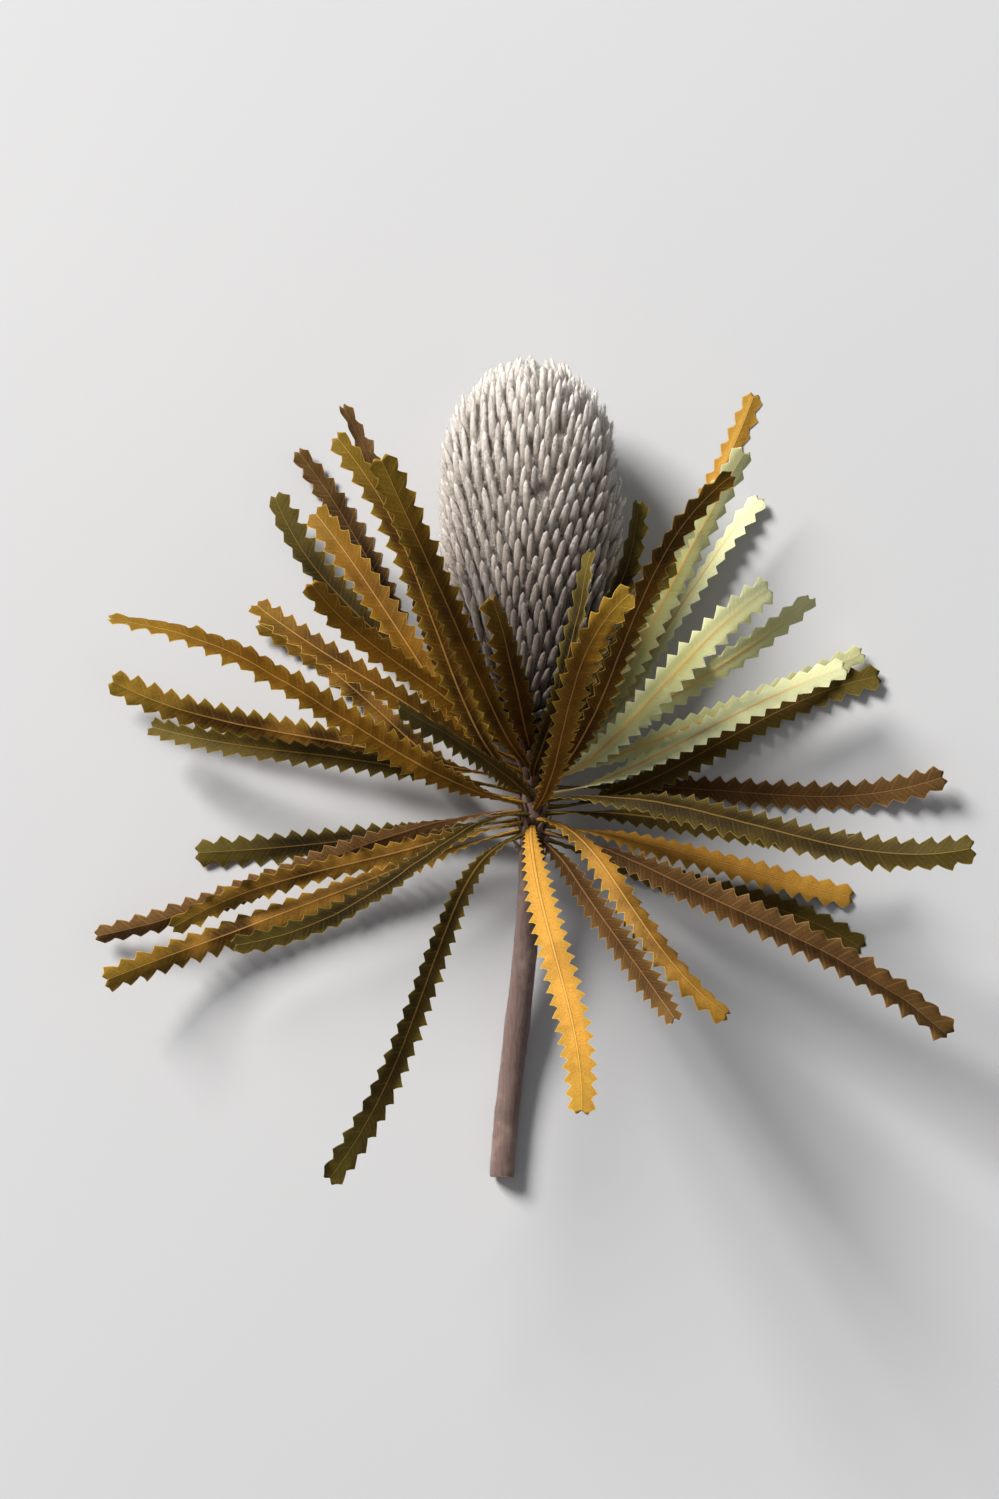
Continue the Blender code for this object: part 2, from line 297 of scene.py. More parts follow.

# The leaves' two faces, a dark colour for blotches and for painted shade, teeth with the leaf's end, margins
# and midribs, and how strongly the midrib and the veins show
BLADE_FINISHES = {
    "blade_gold": {
        "upper": (0.62, 0.32, 0.06),
        "under": (0.27, 0.125, 0.01),
        "dark_marks_and_shade": (0.05, 0.02, 0.002),
        "outer": (0.32, 0.215, 0.028),
        "margin": (0.74, 0.46, 0.11),
        "midrib": (0.72, 0.44, 0.13),
        "rib_tone": 0.42,
        "vein_tone": 0.09,
        "roughness": 0.5,
    },
    "blade_olive": {
        "upper": (0.08, 0.046, 0.007),
        "under": (0.13, 0.085, 0.014),
        "dark_marks_and_shade": (0.013, 0.008, 0.0015),
        "outer": (0.17, 0.13, 0.026),
        "margin": (0.36, 0.27, 0.07),
        "midrib": (0.34, 0.2, 0.05),
        "rib_tone": 0.45,
        "vein_tone": 0.1,
        "roughness": 0.52,
    },
    "blade_brown": {
        "upper": (0.12, 0.058, 0.016),
        "under": (0.24, 0.135, 0.06),
        "dark_marks_and_shade": (0.025, 0.012, 0.004),
        "outer": (0.2, 0.115, 0.035),
        "margin": (0.5, 0.32, 0.14),
        "midrib": (0.33, 0.17, 0.07),
        "rib_tone": 0.45,
        "vein_tone": 0.14,
        "roughness": 0.58,
    },
    "blade_sage": {
        "upper": (0.76, 0.77, 0.46),
        "under": (0.74, 0.73, 0.4),
        "dark_marks_and_shade": (0.52, 0.5, 0.2),
        "outer": (0.74, 0.76, 0.49),
        "margin": (0.88, 0.86, 0.6),
        "midrib": (0.84, 0.42, 0.12),
        "rib_tone": 0.95,
        "vein_tone": 0.1,
        "roughness": 0.5,
    },
}

# The florets and their hair, by how pale each is, which is partly painted shade near the cone's base, with
# speckles and sheen
VELVET_FINISHES = {
    "floret_velvet": {
        "dark": (0.085, 0.06, 0.046),
        "middle": (0.36, 0.295, 0.245),
        "pale": (0.9, 0.855, 0.8),
        "speckle": 0.5,
        "sheen": 0.5,
    },
    "floret_hair": {
        "dark": (0.12, 0.088, 0.068),
        "middle": (0.42, 0.355, 0.3),
        "pale": (0.95, 0.92, 0.87),
        "speckle": 1.3,
        "sheen": 0.2,
    },
}

# How fine the patterns are: the larger, the finer
LEAF_PATCHES = 60.0
LEAF_FIBRES = 1400.0
BLADE_COCKLES = 55.0
BLADE_CURLS = 40.0
FLORET_FELT = 1700.0
CORE_FELT = 1800.0
SCALE_FELT = 1500.0
WOOL_PATCHES = 160.0
BARK_GRAIN = 900.0
BARK_KNOTS = 130.0
BARK_STREAKS = 1100.0
BARK_BLOTCHES = 90.0
DOWN_PATCHES = 300.0
WOOD_RINGS = 9000.0
WOOD_WAVER = 500.0
FLOOR_PATCHES = 3.0

# Patterns that are drawn out along Y: the smaller, the longer
FELT_SQUEEZE = 0.4
GRAIN_SQUEEZE = 0.12
STREAK_SQUEEZE = 0.08

# The floor, the lights (place, size, power and tint) and the camera
FLOOR_REACH = 6.0
AIR_COLOUR = (0.95, 0.96, 1.0)
AIR_LIGHT = 0.2
LIGHTS = {
    "window": ((-3.5, 3.2, 3.5), 2.2, 480, (1.0, 0.985, 0.96)),
    "fill": ((1.6, -1.2, 1.8), 2.0, 4, (0.95, 0.97, 1.0)),
}
LIT_PLACE = Vector((0, -0.06, 0.03))
LOOKS_AT = Vector((-0.012, -0.072, 0.03))
CAMERA_ELEVATION = math.radians(80)
CAMERA_DISTANCE = 1.13
FOCAL_LENGTH = 70
SENSOR_WIDTH = 36
NEAREST_SEEN = 0.05
FURTHEST_SEEN = 20


def mix(low, high, share):
    return low + (high - low) * share


def smooth(x):
    x = min(max(x, 0.0), 1.0)
    return x * x * (3 - 2 * x)


def rounded(x):
    """A quarter circle's height, from 0 at x = 0 to 1 at x = 1 and beyond."""
    x = min(max(x, 0.0), 1.0)
    return math.sqrt(1 - (1 - x) ** 2)


# The forms of the CAD source, so that every piece lies where its node is

CORE_LENGTH = CONE_LENGTH - FLORET_RELIEF
CORE_RADIUS = CONE_RADIUS - FLORET_RELIEF


def core_radius(t):
    """The radius between the florets, at t along the cone's axis from base to tip."""
    taper = 1 - BASE_TAPER * (1 - smooth(t / BELLY_AT))
    return CORE_RADIUS * taper * rounded(t / BASE_DOME) * rounded((CORE_LENGTH - t) / TIP_DOME)


def core_slope(t):
    return (core_radius(t + SLOPE_STEP) - core_radius(t - SLOPE_STEP)) / (2 * SLOPE_STEP)


def core_profile(samples=600):
    """Distances along the core's side from base to tip, with the axis distance at each."""
    arcs, ts = [0.0], [0.0]
    for k in range(1, samples + 1):
        t = CORE_LENGTH * (1 - math.cos(math.pi * k / samples)) / 2
        across = core_radius(t) - core_radius(ts[-1])
        arcs.append(arcs[-1] + math.hypot(t - ts[-1], across))
        ts.append(t)
    return arcs, ts


ARCS, ARC_TS = core_profile()


def axis_distance(arc):
    """The distance along the axis at this distance along the core's side."""
    k = min(max(bisect.bisect_right(ARCS, arc), 1), len(ARCS) - 1)
    share = (arc - ARCS[k - 1]) / (ARCS[k] - ARCS[k - 1])
    return mix(ARC_TS[k - 1], ARC_TS[k], share)


def resting_place():
    """The axis distance at which the leaning cone's underside is lowest."""
    low, high = BELLY_AT / 2, BELLY_AT
    for _ in range(HALVINGS):
        middle = (low + high) / 2
        if core_slope(middle) > math.tan(TILT):
            low = middle
        else:
            high = middle
    return low


REST_AT = resting_place()
REST_DEPTH = core_radius(REST_AT) + FLORET_RELIEF / math.cos(TILT) - PRESSED_DEPTH
BASE = UPRIGHT * REST_DEPTH - AXIS * REST_AT


def around(angle):
    """The direction away from the cone's axis at this angle, from +X towards the top."""
    return SIDE * math.cos(angle) + UPRIGHT * math.sin(angle)


def core_normal(t, angle):
    return (around(angle) - AXIS * core_slope(t)).normalized()


def over_core(t, angle, height):
    return BASE + AXIS * t + around(angle) * core_radius(t) + core_normal(t, angle) * height


def stem_line(s):
    """The stem's centre at this distance below the cone: it sinks gently on to the surface."""
    start = BASE - AXIS * GAP
    reach = STEM_SETTLES_AT * STEM_LENGTH
    share = min(s / reach, 1.0)
    drop = start.z - STEM_RADIUS
    slope = math.sin(TILT) * reach
    height = start.z - slope * share - (3 * drop - 2 * slope) * share**2 + (2 * drop - slope) * share**3
    along = s / STEM_LENGTH
    sway = STEM_BOW * math.sin(math.pi * along) - STEM_DRIFT * smooth(along)
    return Vector((sway, start.y - s * math.cos(TILT), height))


def stem_radius(s):
    ends = sum(math.exp(-(((s / STEM_LENGTH - at) / GROWTH_END_SHARE) ** 2)) for at in GROWTH_ENDS)
    past_neck = smooth(s / (STEM_NECK_SHARE * STEM_LENGTH))
    return mix(STEM_NECK_RADIUS, STEM_RADIUS, past_neck) + STEM_SWELLING * ends


def leaf_colour(age, angle, chance):
    """Sage green in a fan on the right, and elsewhere the golds and browns of dried leaves."""
    if age < SAGE_AGE and SAGE_SIDES[0] < angle < SAGE_SIDES[1]:
        return "leaf_sage"
    if chance < GOLD_SHARE:
        return "leaf_gold"
    return "leaf_olive" if chance < GOLD_SHARE + OLIVE_SHARE else "leaf_brown"


def leaf_plans():
    """Where each leaf grows and how it is shaped."""
    draw = random.Random(LEAF_SEED)
    plans = []
    for i in range(LEAF_COUNT):
        age = i / (LEAF_COUNT - 1)
        turn = (i * GOLDEN_ANGLE / (2 * math.pi)) % 1
        angle = mix(LOWEST_SIDE, math.pi - LOWEST_SIDE, turn)
        raised = (math.sin(angle) - UPPER_SINE[0]) / (UPPER_SINE[1] - UPPER_SINE[0])
        upper = smooth(raised) * (1 - smooth(age / UPPER_AGE))
        plans.append(
            {
                "below": mix(*LEAF_ZONE, age),
                "angle": angle,
                "lean": mix(*LEAF_LEAN, age**YOUNG_CROWDING)
                + UPPER_SPREAD * upper
                + draw.uniform(-1, 1) * LEAN_SPREAD,
                "length": mix(*LEAF_LENGTH, draw.random()) * (1 - UPPER_SHORTER * upper),
                "width": mix(*LEAF_WIDTH, draw.random()),
                "droop": draw.uniform(*DROOP),
                "sway": draw.uniform(-1, 1) * SWAY,
                "curl": draw.uniform(-1, 1) * CURL,
                "roll": draw.uniform(-1, 1) * ROLL,
                "twist": draw.uniform(-1, 1) * TWIST,
                "clear": mix(*CLEAR_OF_CONE, age),
                "colour": leaf_colour(age, angle, draw.random()),
            }
        )
    return plans


def off_cone(point):
    """The distance from a capsule that holds the cone, and the direction away from it."""
    t = (point - BASE).dot(AXIS)
    nearest = BASE + AXIS * min(max(t, CONE_RADIUS), CONE_LENGTH - CONE_RADIUS)
    away = point - nearest
    return away.length - CONE_RADIUS, away.normalized()


def half_width(plan, u):
    """Half the blade's width over its teeth, at share u of its length."""
    swell = mix(BASE_WIDTH, 1, smooth(u / WIDEST_AT))
    end = mix(END_WIDTH, 1, rounded((1 - u) / BLUNT_END))
    return plan["width"] / 2 * swell * end


def leaf_spine(plan):
    """The leaf's midrib: a list of (point, direction, width direction) at equal steps."""
    outward = around(plan["angle"])
    first = (AXIS * math.cos(plan["lean"]) * START_LEAN + outward).normalized()
    heading = AXIS * math.cos(plan["lean"]) + outward * math.sin(plan["lean"])
    heading.z *= RISE_KEPT if heading.z > 0 else FALL_KEPT
    heading.normalize()
    level = heading.cross(UP).normalized()
    width = AXIS.cross(outward)
    point = stem_line(plan["below"]) + outward * (stem_radius(plan["below"]) + 2 * GAP)
    step = plan["length"] / SPINE_STEPS
    spine = []
    for k in range(SPINE_STEPS + 1):
        u = k / SPINE_STEPS
        direction = first.lerp(heading, smooth(u / TURNED_BY)).normalized()
        direction -= UP * plan["droop"] * u * u
        direction += level * plan["sway"] * math.sin(math.pi * u)
        direction += direction.cross(level) * plan["curl"] * u**3
        direction.normalize()
        gap, away = off_cone(point)
        gap -= half_width(plan, u) + plan["clear"] * smooth(u / CLEAR_BY)
        direction += away * max(0.0, -gap / SETTLE - direction.dot(away))
        height = point.z - LEAF_THICKNESS
        direction.z = max(direction.z, -height / SETTLE)
        direction.normalize()
        flat = direction.cross(UP).normalized()
        if flat.dot(width) < 0:
            flat.negate()
        room = math.asin(min(1.0, max(0.0, height) / half_width(plan, u)))
        roll = max(-room, min(room, plan["roll"] + plan["twist"] * (u - 0.5)))
        turned = flat * math.cos(roll) + direction.cross(flat) * math.sin(roll)
        width = width.lerp(turned, TURN_EASE * smooth(u / LEVEL_BY))
        width = (width - direction * width.dot(direction)).normalized()
        spine.append((point.copy(), direction.copy(), width))
        point = point + direction * step
    return spine


# Node trees, written as sums


class Field:
    """A node's output. Adding or multiplying fields puts the math nodes for that into their tree."""

    def __init__(self, nodes, socket):
        self.nodes = nodes
        self.socket = socket
        self.is_vector = socket.type in ("VECTOR", "RGBA")

    def __add__(self, other):
        return self.nodes.reckon("ADD", self, other)

    def __sub__(self, other):
        return self.nodes.reckon("SUBTRACT", self, other)

    def __mul__(self, other):
        return self.nodes.reckon("MULTIPLY", self, other)

    def __truediv__(self, other):
        return self.nodes.reckon("DIVIDE", self, other)

    def __pow__(self, other):
        return self.nodes.reckon("POWER", self, other)

    def __rsub__(self, other):
        return self.nodes.reckon("SUBTRACT", other, self)

    __radd__ = __add__
    __rmul__ = __mul__


def socket_named(sockets, name):
    if isinstance(name, int):
        return sockets[name]
    return next(socket for socket in sockets if socket.name == name and socket.enabled)


class Nodes:
    """Adds nodes to a tree and joins them."""

    def __init__(self, tree):
        self.tree = tree

    def add(self, kind, inputs=None, **settings):
        node = self.tree.nodes.new(kind)
        for name, value in settings.items():
            setattr(node, name, value)
        for name, value in (inputs or {}).items():
            self.join(value, socket_named(node.inputs, name))
        return node

    def join(self, value, socket):
        if isinstance(value, Field):
            self.tree.links.new(value.socket, socket)
        elif socket.type == "RGBA":
            socket.default_value = (*value, 1)
        else:
            socket.default_value = value

    def out(self, node, name=0):
        return Field(self, socket_named(node.outputs, name))

    def get(self, kind, inputs=None, output=0, **settings):
        return self.out(self.add(kind, inputs, **settings), output)

    def reckon(self, operation, *values):
        vectors = [isinstance(v, Field) and v.is_vector or isinstance(v, tuple) for v in values]
        if operation == "MULTIPLY" and sum(vectors) == 1:
            scaled, factor = values if vectors[0] else values[::-1]
            return self.get("ShaderNodeVectorMath", {0: scaled, "Scale": factor}, operation="SCALE")
        kind = "ShaderNodeVectorMath" if any(vectors) else "ShaderNodeMath"
        return self.get(kind, dict(enumerate(values)), operation=operation)

    def vector(self, operation, *values, output=0):
        return self.get("ShaderNodeVectorMath", dict(enumerate(values)), output, operation=operation)

    def combine(self, x, y, z):
        return self.get("ShaderNodeCombineXYZ", {0: x, 1: y, 2: z})

    def split(self, vector):
        node = self.add("ShaderNodeSeparateXYZ", {0: vector})
        return [self.out(node, axis) for axis in range(3)]

    def ramp(self, value, low, high, start=0.0, end=1.0):
        """Eases from start to end while value goes from low to high."""
        span = {"Value": value, "From Min": low, "From Max": high, "To Min": start, "To Max": end}
        return self.get("ShaderNodeMapRange", span, "Result", interpolation_type="SMOOTHSTEP")

    def blend(self, first, second, share):
        """The colour between two colours."""
        given = {"Factor": share, "A": first, "B": second}
        return self.get("ShaderNodeMix", given, "Result", data_type="RGBA", clamp_factor=True)

    def noise(self, vector, scale, detail=3.0):
        given = {"Vector": vector, "Scale": scale, "Detail": detail}
        return self.get("ShaderNodeTexNoise", given, "Fac")

    def drawn_out(self, place, squeeze):
        """A place squeezed along Y, so that a pattern on it is drawn out that way."""
        x, y, z = self.split(place)
        return self.combine(x, y * squeeze, z)

    def chance(self, low, high, seed):
        """A number of its own for each point or piece."""
        span = {"Min": low, "Max": high, "Seed": seed}
        return self.get("FunctionNodeRandomValue", span, "Value", data_type="FLOAT")

    def chance_vector(self, size, seed):
        span = {"Min": (-size,) * 3, "Max": (size,) * 3, "Seed": seed}
        return self.get("FunctionNodeRandomValue", span, "Value", data_type="FLOAT_VECTOR")

    def attribute(self, name, data_type="FLOAT"):
        return self.get("GeometryNodeInputNamedAttribute", {"Name": name}, "Attribute", data_type=data_type)

    def keep(self, geometry, name, value, data_type="FLOAT"):
        """Stores a value on the points, where the materials read it."""
        stored = {"Geometry": geometry, "Name": name, "Value": value}
        return self.get("GeometryNodeStoreNamedAttribute", stored, data_type=data_type, domain="POINT")

    def above_surface(self, geometry):
        """Presses whatever lies under the surface flat on to it."""
        x, y, z = self.split(self.get("GeometryNodeInputPosition"))
        raised = self.combine(x, y, self.reckon("MAXIMUM", z, LOWEST))
        return self.get("GeometryNodeSetPosition", {"Geometry": geometry, "Position": raised})

    def group(self, name, inputs):
        """Places a shared node group in a material, and gives its outputs by name."""
        node = self.add("ShaderNodeGroup", inputs, node_tree=bpy.data.node_groups[name])
        return {socket.name: Field(self, socket) for socket in node.outputs}

    def finish(self, geometry, material):
        """Ends a tree: instances become real, above the surface, smoothly shaded and of the material."""
        real = self.get("GeometryNodeRealizeInstances", {"Geometry": geometry})
        real = self.above_surface(real)
        real = self.get("GeometryNodeSetShadeSmooth", {"Geometry": real})
        real = self.get("GeometryNodeSetMaterial", {"Geometry": real, "Material": material})
        self.add("NodeGroupOutput", {"Geometry": real})


SOCKET_TYPES = {float: "NodeSocketFloat", int: "NodeSocketInt", type(None): "NodeSocketMaterial"}


def new_growth(name, **defaults):
    """A Geometry Nodes tree with named inputs: its nodes, the geometry it is given, and its inputs."""
    tree = bpy.data.node_groups.new(name, "GeometryNodeTree")
    tree.interface.new_socket(name="Geometry", in_out="INPUT", socket_type="NodeSocketGeometry")
    for key, default in defaults.items():
        kind = SOCKET_TYPES[type(default)]
        socket = tree.interface.new_socket(name=key, in_out="INPUT", socket_type=kind)
        if default is not None:
            socket.default_value = default
    tree.interface.new_socket(name="Geometry", in_out="OUTPUT", socket_type="NodeSocketGeometry")
    nodes = Nodes(tree)
    group = nodes.add("NodeGroupInput")
    return nodes, nodes.out(group, "Geometry"), {key: nodes.out(group, key) for key in defaults}


def new_object(name, data):
    """An object for a mesh, a light or a camera."""
    added = bpy.data.objects.new(name, data)
    bpy.context.scene.collection.objects.link(added)
    return added


def grow(name, source, tree, material, **values):
    """Runs a tree on a mesh and returns what grows from it as a plain mesh of one material."""
    values["Material"] = bpy.data.materials[material]
    seedbed = new_object(name, source)
    modifier = seedbed.modifiers.new("growth", "NODES")
    modifier.node_group = bpy.data.node_groups[tree]
    for item in modifier.node_group.interface.items_tree:
        if item.in_out == "INPUT" and item.name in values:
            modifier[item.identifier] = values[item.name]
    evaluated = seedbed.evaluated_get(bpy.context.evaluated_depsgraph_get())
    grown = bpy.data.meshes.new_from_object(evaluated)
    bpy.data.objects.remove(seedbed)
    grown.materials.clear()
    grown.materials.append(values["Material"])
    grown.polygons.foreach_set("material_index", [0] * len(grown.polygons))
    return grown


def add_piece(name, mesh, slot, *nodes):
    """Shows a mesh as a piece of the part, in place of these CAD nodes if any are named."""
    mesh.name = name
    piece = new_object(name, mesh)
    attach(piece, "root")
    if nodes:
        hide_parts(*nodes)


def keep_values(mesh, name, values):
    """Keeps a number or a vector for each point of a mesh, for the trees and the materials to read."""
    is_vector = isinstance(values[0], Vector)
    data = mesh.attributes.new(name, "FLOAT_VECTOR" if is_vector else "FLOAT", "POINT").data
    if is_vector:
        data.foreach_set("vector", [number for value in values for number in value])
    else:
        data.foreach_set("value", values)


def point_mesh(name, points, edges=(), faces=(), **kept):
    """A mesh of points, lines or faces, with values of its own at each point."""
    mesh = bpy.data.meshes.new(name)
    mesh.from_pydata([tuple(point) for point in points], edges, faces)
    for key, values in kept.items():
        keep_values(mesh, key, values)
    return mesh


def ring_faces(rings, sides, tip=None):
    """The faces of rings of points that follow point 0: a fan at it, bands, and a fan at the tip if any."""
    faces = []
    last = 1 + (rings - 1) * sides
    for j in range(sides):
        k = (j + 1) % sides
        faces.append((0, 1 + j, 1 + k))
        for low in range(1, last, sides):
            high = low + sides
            faces.append((low + j, high + j, high + k, low + k))
        if tip is not None:
            faces.append((last + k, last + j, tip))
    return faces


# The flower cone


def cone_core():
    """The cone's woolly core, from which the florets rise, as a closed surface."""
    points = [over_core(CORE_START, 0, 0) - around(0) * core_radius(CORE_START)]
    shares = [0.0]
    for ring in range(1, CORE_RINGS + 1):
        t = axis_distance(ARCS[-1] * ring / (CORE_RINGS + 1))
        along = t / CORE_LENGTH
        for side in range(CORE_SIDES):
            points.append(over_core(t, 2 * math.pi * side / CORE_SIDES, mix(*WOOL_DEPTH, along)))
            shares.append(along)
    points.append(BASE + AXIS * (CORE_LENGTH + WOOL_DEPTH[1]))
    shares.append(1.0)
    for point in points:
        point.z = max(point.z, LOWEST)
    faces = ring_faces(CORE_RINGS, CORE_SIDES, tip=len(points) - 1)
    return point_mesh("cone_core", points, faces=faces, axis_share=shares)


def floret_seats():
    """Where each floret is rooted, how it reaches to its tip, how wide it is and how pale."""
    draw = random.Random(FLORET_SEED)
    noise.seed_set(FLORET_SEED)
    points, reaches, outwards, widths, pales = [], [], [], [], []
    column_turn = (2 * math.pi - SPIRALS * COLUMN_LEAN) / COLUMNS
    for column in range(COLUMNS):
        for step in range(-SPIRALS, MOST_STEPS):
            tip_arc = FLORET_STEP * (step + column * SPIRALS / COLUMNS)
            tip_angle = step * COLUMN_LEAN - column * column_turn
            t, tip_t = axis_distance(tip_arc - FLORET_REACH), axis_distance(tip_arc)
            if tip_arc < FIRST_TIP or tip_t > CORE_LENGTH - LAST_TIP or tip_t <= t:
                continue
            angle = tip_angle + FLORET_ASLANT / core_radius(t)
            room = min(1.0, core_radius(t) / ROOMY_RADIUS)
            if room < THINNED_BELOW and (column + step) % 2 or draw.random() < LOST_FLORETS:
                continue
            root = over_core(t, angle, ROOT_HEIGHT)
            tip = over_core(tip_t, tip_angle, TIP_HEIGHT)
            out = core_normal(t, angle)
            along = t / CORE_LENGTH
            reach = tip - root
            if room < FREE_BELOW and along > RISE_FROM:
                reach = reach.normalized() * mix(*FREE_REACH_MM, room) * MM
            rise = smooth((along - RISE_FROM) / RISE_OVER)
            reach += AXIS * reach.length * RISE_AHEAD * rise + out * RISE_OUT_MM * MM * rise
            reach += Vector([draw.uniform(-1, 1) for _ in range(3)]) * STRAY_MM * MM
            reach += noise.noise_vector(root * DRIFT_SCALE) * DRIFT_MM * MM
            points.append(root)
            reaches.append(reach * draw.uniform(*REACH_SPREAD))
            outwards.append(out)
            widths.append(FLORET_WIDTH * mix(SLIMMEST, 1.0, room) * draw.uniform(*WIDTH_SPREAD))
            pales.append(smooth(along * PALING) + draw.uniform(-PALE_SPREAD, PALE_SPREAD))
    return point_mesh("floret_seats", points, reach=reaches, outward=outwards, width=widths, pale=pales)


def floret_growth():
    """Bullet-shaped florets or scales, one at each seat, closed and a little arched."""
    nodes, seats, given = new_growth(
        "floret_growth", Rings=7, Sides=8, Arch=0.65, Blunt=2.4, Flat=0.86, Seed=3, Material=None
    )
    line = nodes.get("GeometryNodeCurvePrimitiveLine", {"Start": (0, 0, 0), "End": (0, 0, 1)})
    line = nodes.get("GeometryNodeResampleCurve", {"Curve": line, "Count": given["Rings"] + 1})
    factor = nodes.get("GeometryNodeSplineParameter", output="Factor")
    line = nodes.keep(line, "floret_share", 1 - (1 - factor) ** given["Blunt"])
    share = nodes.attribute("floret_share")
    arched = nodes.combine(0.0, share * (1 - share) * 4 * given["Arch"], share)
    arc = nodes.get("GeometryNodeSetPosition", {"Geometry": line, "Position": arched})
    round_tip = (1 + TIP_LEFT - share**9) ** 0.5
    slim_root = nodes.ramp(share, -0.2, 0.3, 0.75, 1.0)
    ring = nodes.get("GeometryNodeCurvePrimitiveCircle", {"Resolution": given["Sides"], "Radius": 1.0})
    swept = {"Curve": arc, "Profile Curve": ring, "Scale": round_tip * slim_root, "Fill Caps": True}
    form = nodes.get("GeometryNodeCurveToMesh", swept)
    reach = nodes.attribute("reach", "FLOAT_VECTOR")
    axes = {"Primary Axis": reach, "Secondary Axis": nodes.attribute("outward", "FLOAT_VECTOR")}
    turn = nodes.get("FunctionNodeAxesToRotation", axes, primary_axis="Z", secondary_axis="Y")
    width = nodes.attribute("width")
    size = nodes.combine(width, width * given["Flat"], nodes.vector("LENGTH", reach, output="Value"))
    seats = nodes.keep(seats, "chance", nodes.chance(0.0, 1.0, given["Seed"]))
    planted = {"Points": seats, "Instance": form, "Rotation": turn, "Scale": size}
    florets = nodes.get("GeometryNodeInstanceOnPoints", planted)
    nodes.finish(florets, given["Material"])


def hair_growth():
    """Fine tapered hairs all over a surface, leaning the way it grows."""
    nodes, surface, given = new_growth(
        "hair_growth",
        Density=1e5,
        Length=1.0 * MM,
        Width=0.05 * MM,
        Lift=0.5,
        Untidy=0.4,
        Seed=1,
        Material=None,
    )
    thickly = given["Density"] * nodes.attribute("hairy")
    scatter = {"Mesh": surface, "Density": thickly, "Seed": given["Seed"]}
    scatter = nodes.add("GeometryNodeDistributePointsOnFaces", scatter)
    points = nodes.out(scatter, "Points")
    points = nodes.keep(points, "face_normal", nodes.out(scatter, "Normal"), "FLOAT_VECTOR")
    points = nodes.keep(points, "chance", nodes.chance(0.0, 1.0, given["Seed"] + 4))
    normal = nodes.attribute("face_normal", "FLOAT_VECTOR")
    along = nodes.vector("NORMALIZE", nodes.attribute("reach", "FLOAT_VECTOR"))
    lean = normal * given["Lift"] + along * (1 - given["Lift"])
    lean = nodes.vector("NORMALIZE", lean) + nodes.chance_vector(1.0, given["Seed"] + 1) * given["Untidy"]
    turn = nodes.get("FunctionNodeAlignRotationToVector", {"Vector": lean}, axis="Z")
    hair = {"Vertices": 3, "Radius Top": 0.0, "Radius Bottom": 1.0, "Depth": 1.0}
    hair = nodes.get("GeometryNodeMeshCone", hair)
    thick = given["Width"] * nodes.chance(*HAIR_WIDTH_SPREAD, given["Seed"] + 2)
    length = given["Length"] * nodes.attribute("long") * nodes.chance(*HAIR_LENGTH_SPREAD, given["Seed"] + 3)
    size = nodes.combine(thick, thick, length)
    planted = {"Points": points, "Instance": hair, "Rotation": turn, "Scale": size}
    hairs = nodes.get("GeometryNodeInstanceOnPoints", planted)
    nodes.finish(hairs, given["Material"])


def hairy_surface(mesh, coat, reach=None):
    """A copy of a mesh, marked with how thickly hairs grow at each point and how long they are."""
    mesh = mesh.copy()
    keep_values(mesh, "hairy", [thickly for thickly, _ in coat])
    keep_values(mesh, "long", [length for _, length in coat])
    if reach is not None:
        keep_values(mesh, "reach", [reach] * len(coat))
    return mesh


def values_of(mesh, name):
    """A mesh's values of this name, one for each point."""
    attribute = mesh.attributes[name]
    if attribute.data_type == "FLOAT_VECTOR":
        return [item.vector.copy() for item in attribute.data]
    return [item.value for item in attribute.data]


def add_hairs(name, kind, slot, surface, seed):
    """Shows the hairs of one kind that grow on a marked surface as a piece."""
    add_piece(name, grow(name, surface, "hair_growth", kind, Seed=seed, **HAIR_KINDS[kind]), slot)


def floret_coat(florets):
    """The hair on the florets: longest near the cone's top, and thickest on their sides above the root."""
    marks = [values_of(florets, name) for name in ("floret_share", "pale", "outward")]
    coat = []
    for vertex, share, pale, outward in zip(florets.vertices, *marks):
        if vertex.co.z < UNPRESSED:
            coat.append(BARE)
            continue
        facing = vertex.normal.dot(outward)
        thickly = smooth((facing + BACK_HAIR) / BACK_HAIR) * mix(1.0, FRONT_HAIR, smooth(facing))
        thickly *= smooth((share - HAIR_FROM) / HAIR_OVER)
        thickly *= mix(UNDERSIDE_HAIR, 1.0, smooth(outward.z + UPPER_BEGINS))
        coat.append((thickly, mix(*HAIR_STRETCH, smooth(pale)) * mix(1.0, TIP_HAIR, share)))
    return coat


def core_coats(core):
    """The down between the florets, sparser on the underside, and the wool round the cone's tip."""
    tip = BASE + AXIS * CORE_LENGTH
    down, wool = [], []
    for vertex in core.vertices:
        up = (vertex.co - BASE).dot(UPRIGHT) / CORE_RADIUS
        thickly = mix(UNDERSIDE_DOWN, 1.0, smooth(up + DOWN_BEGINS))
        down.append((thickly, 1.0) if vertex.co.z > UNPRESSED else BARE)
        near = 1 - smooth((vertex.co - tip).length / TIP_WOOL_RADIUS)
        wool.append((near, mix(SHORT_WOOL, 1.0, near)))
    return down, wool


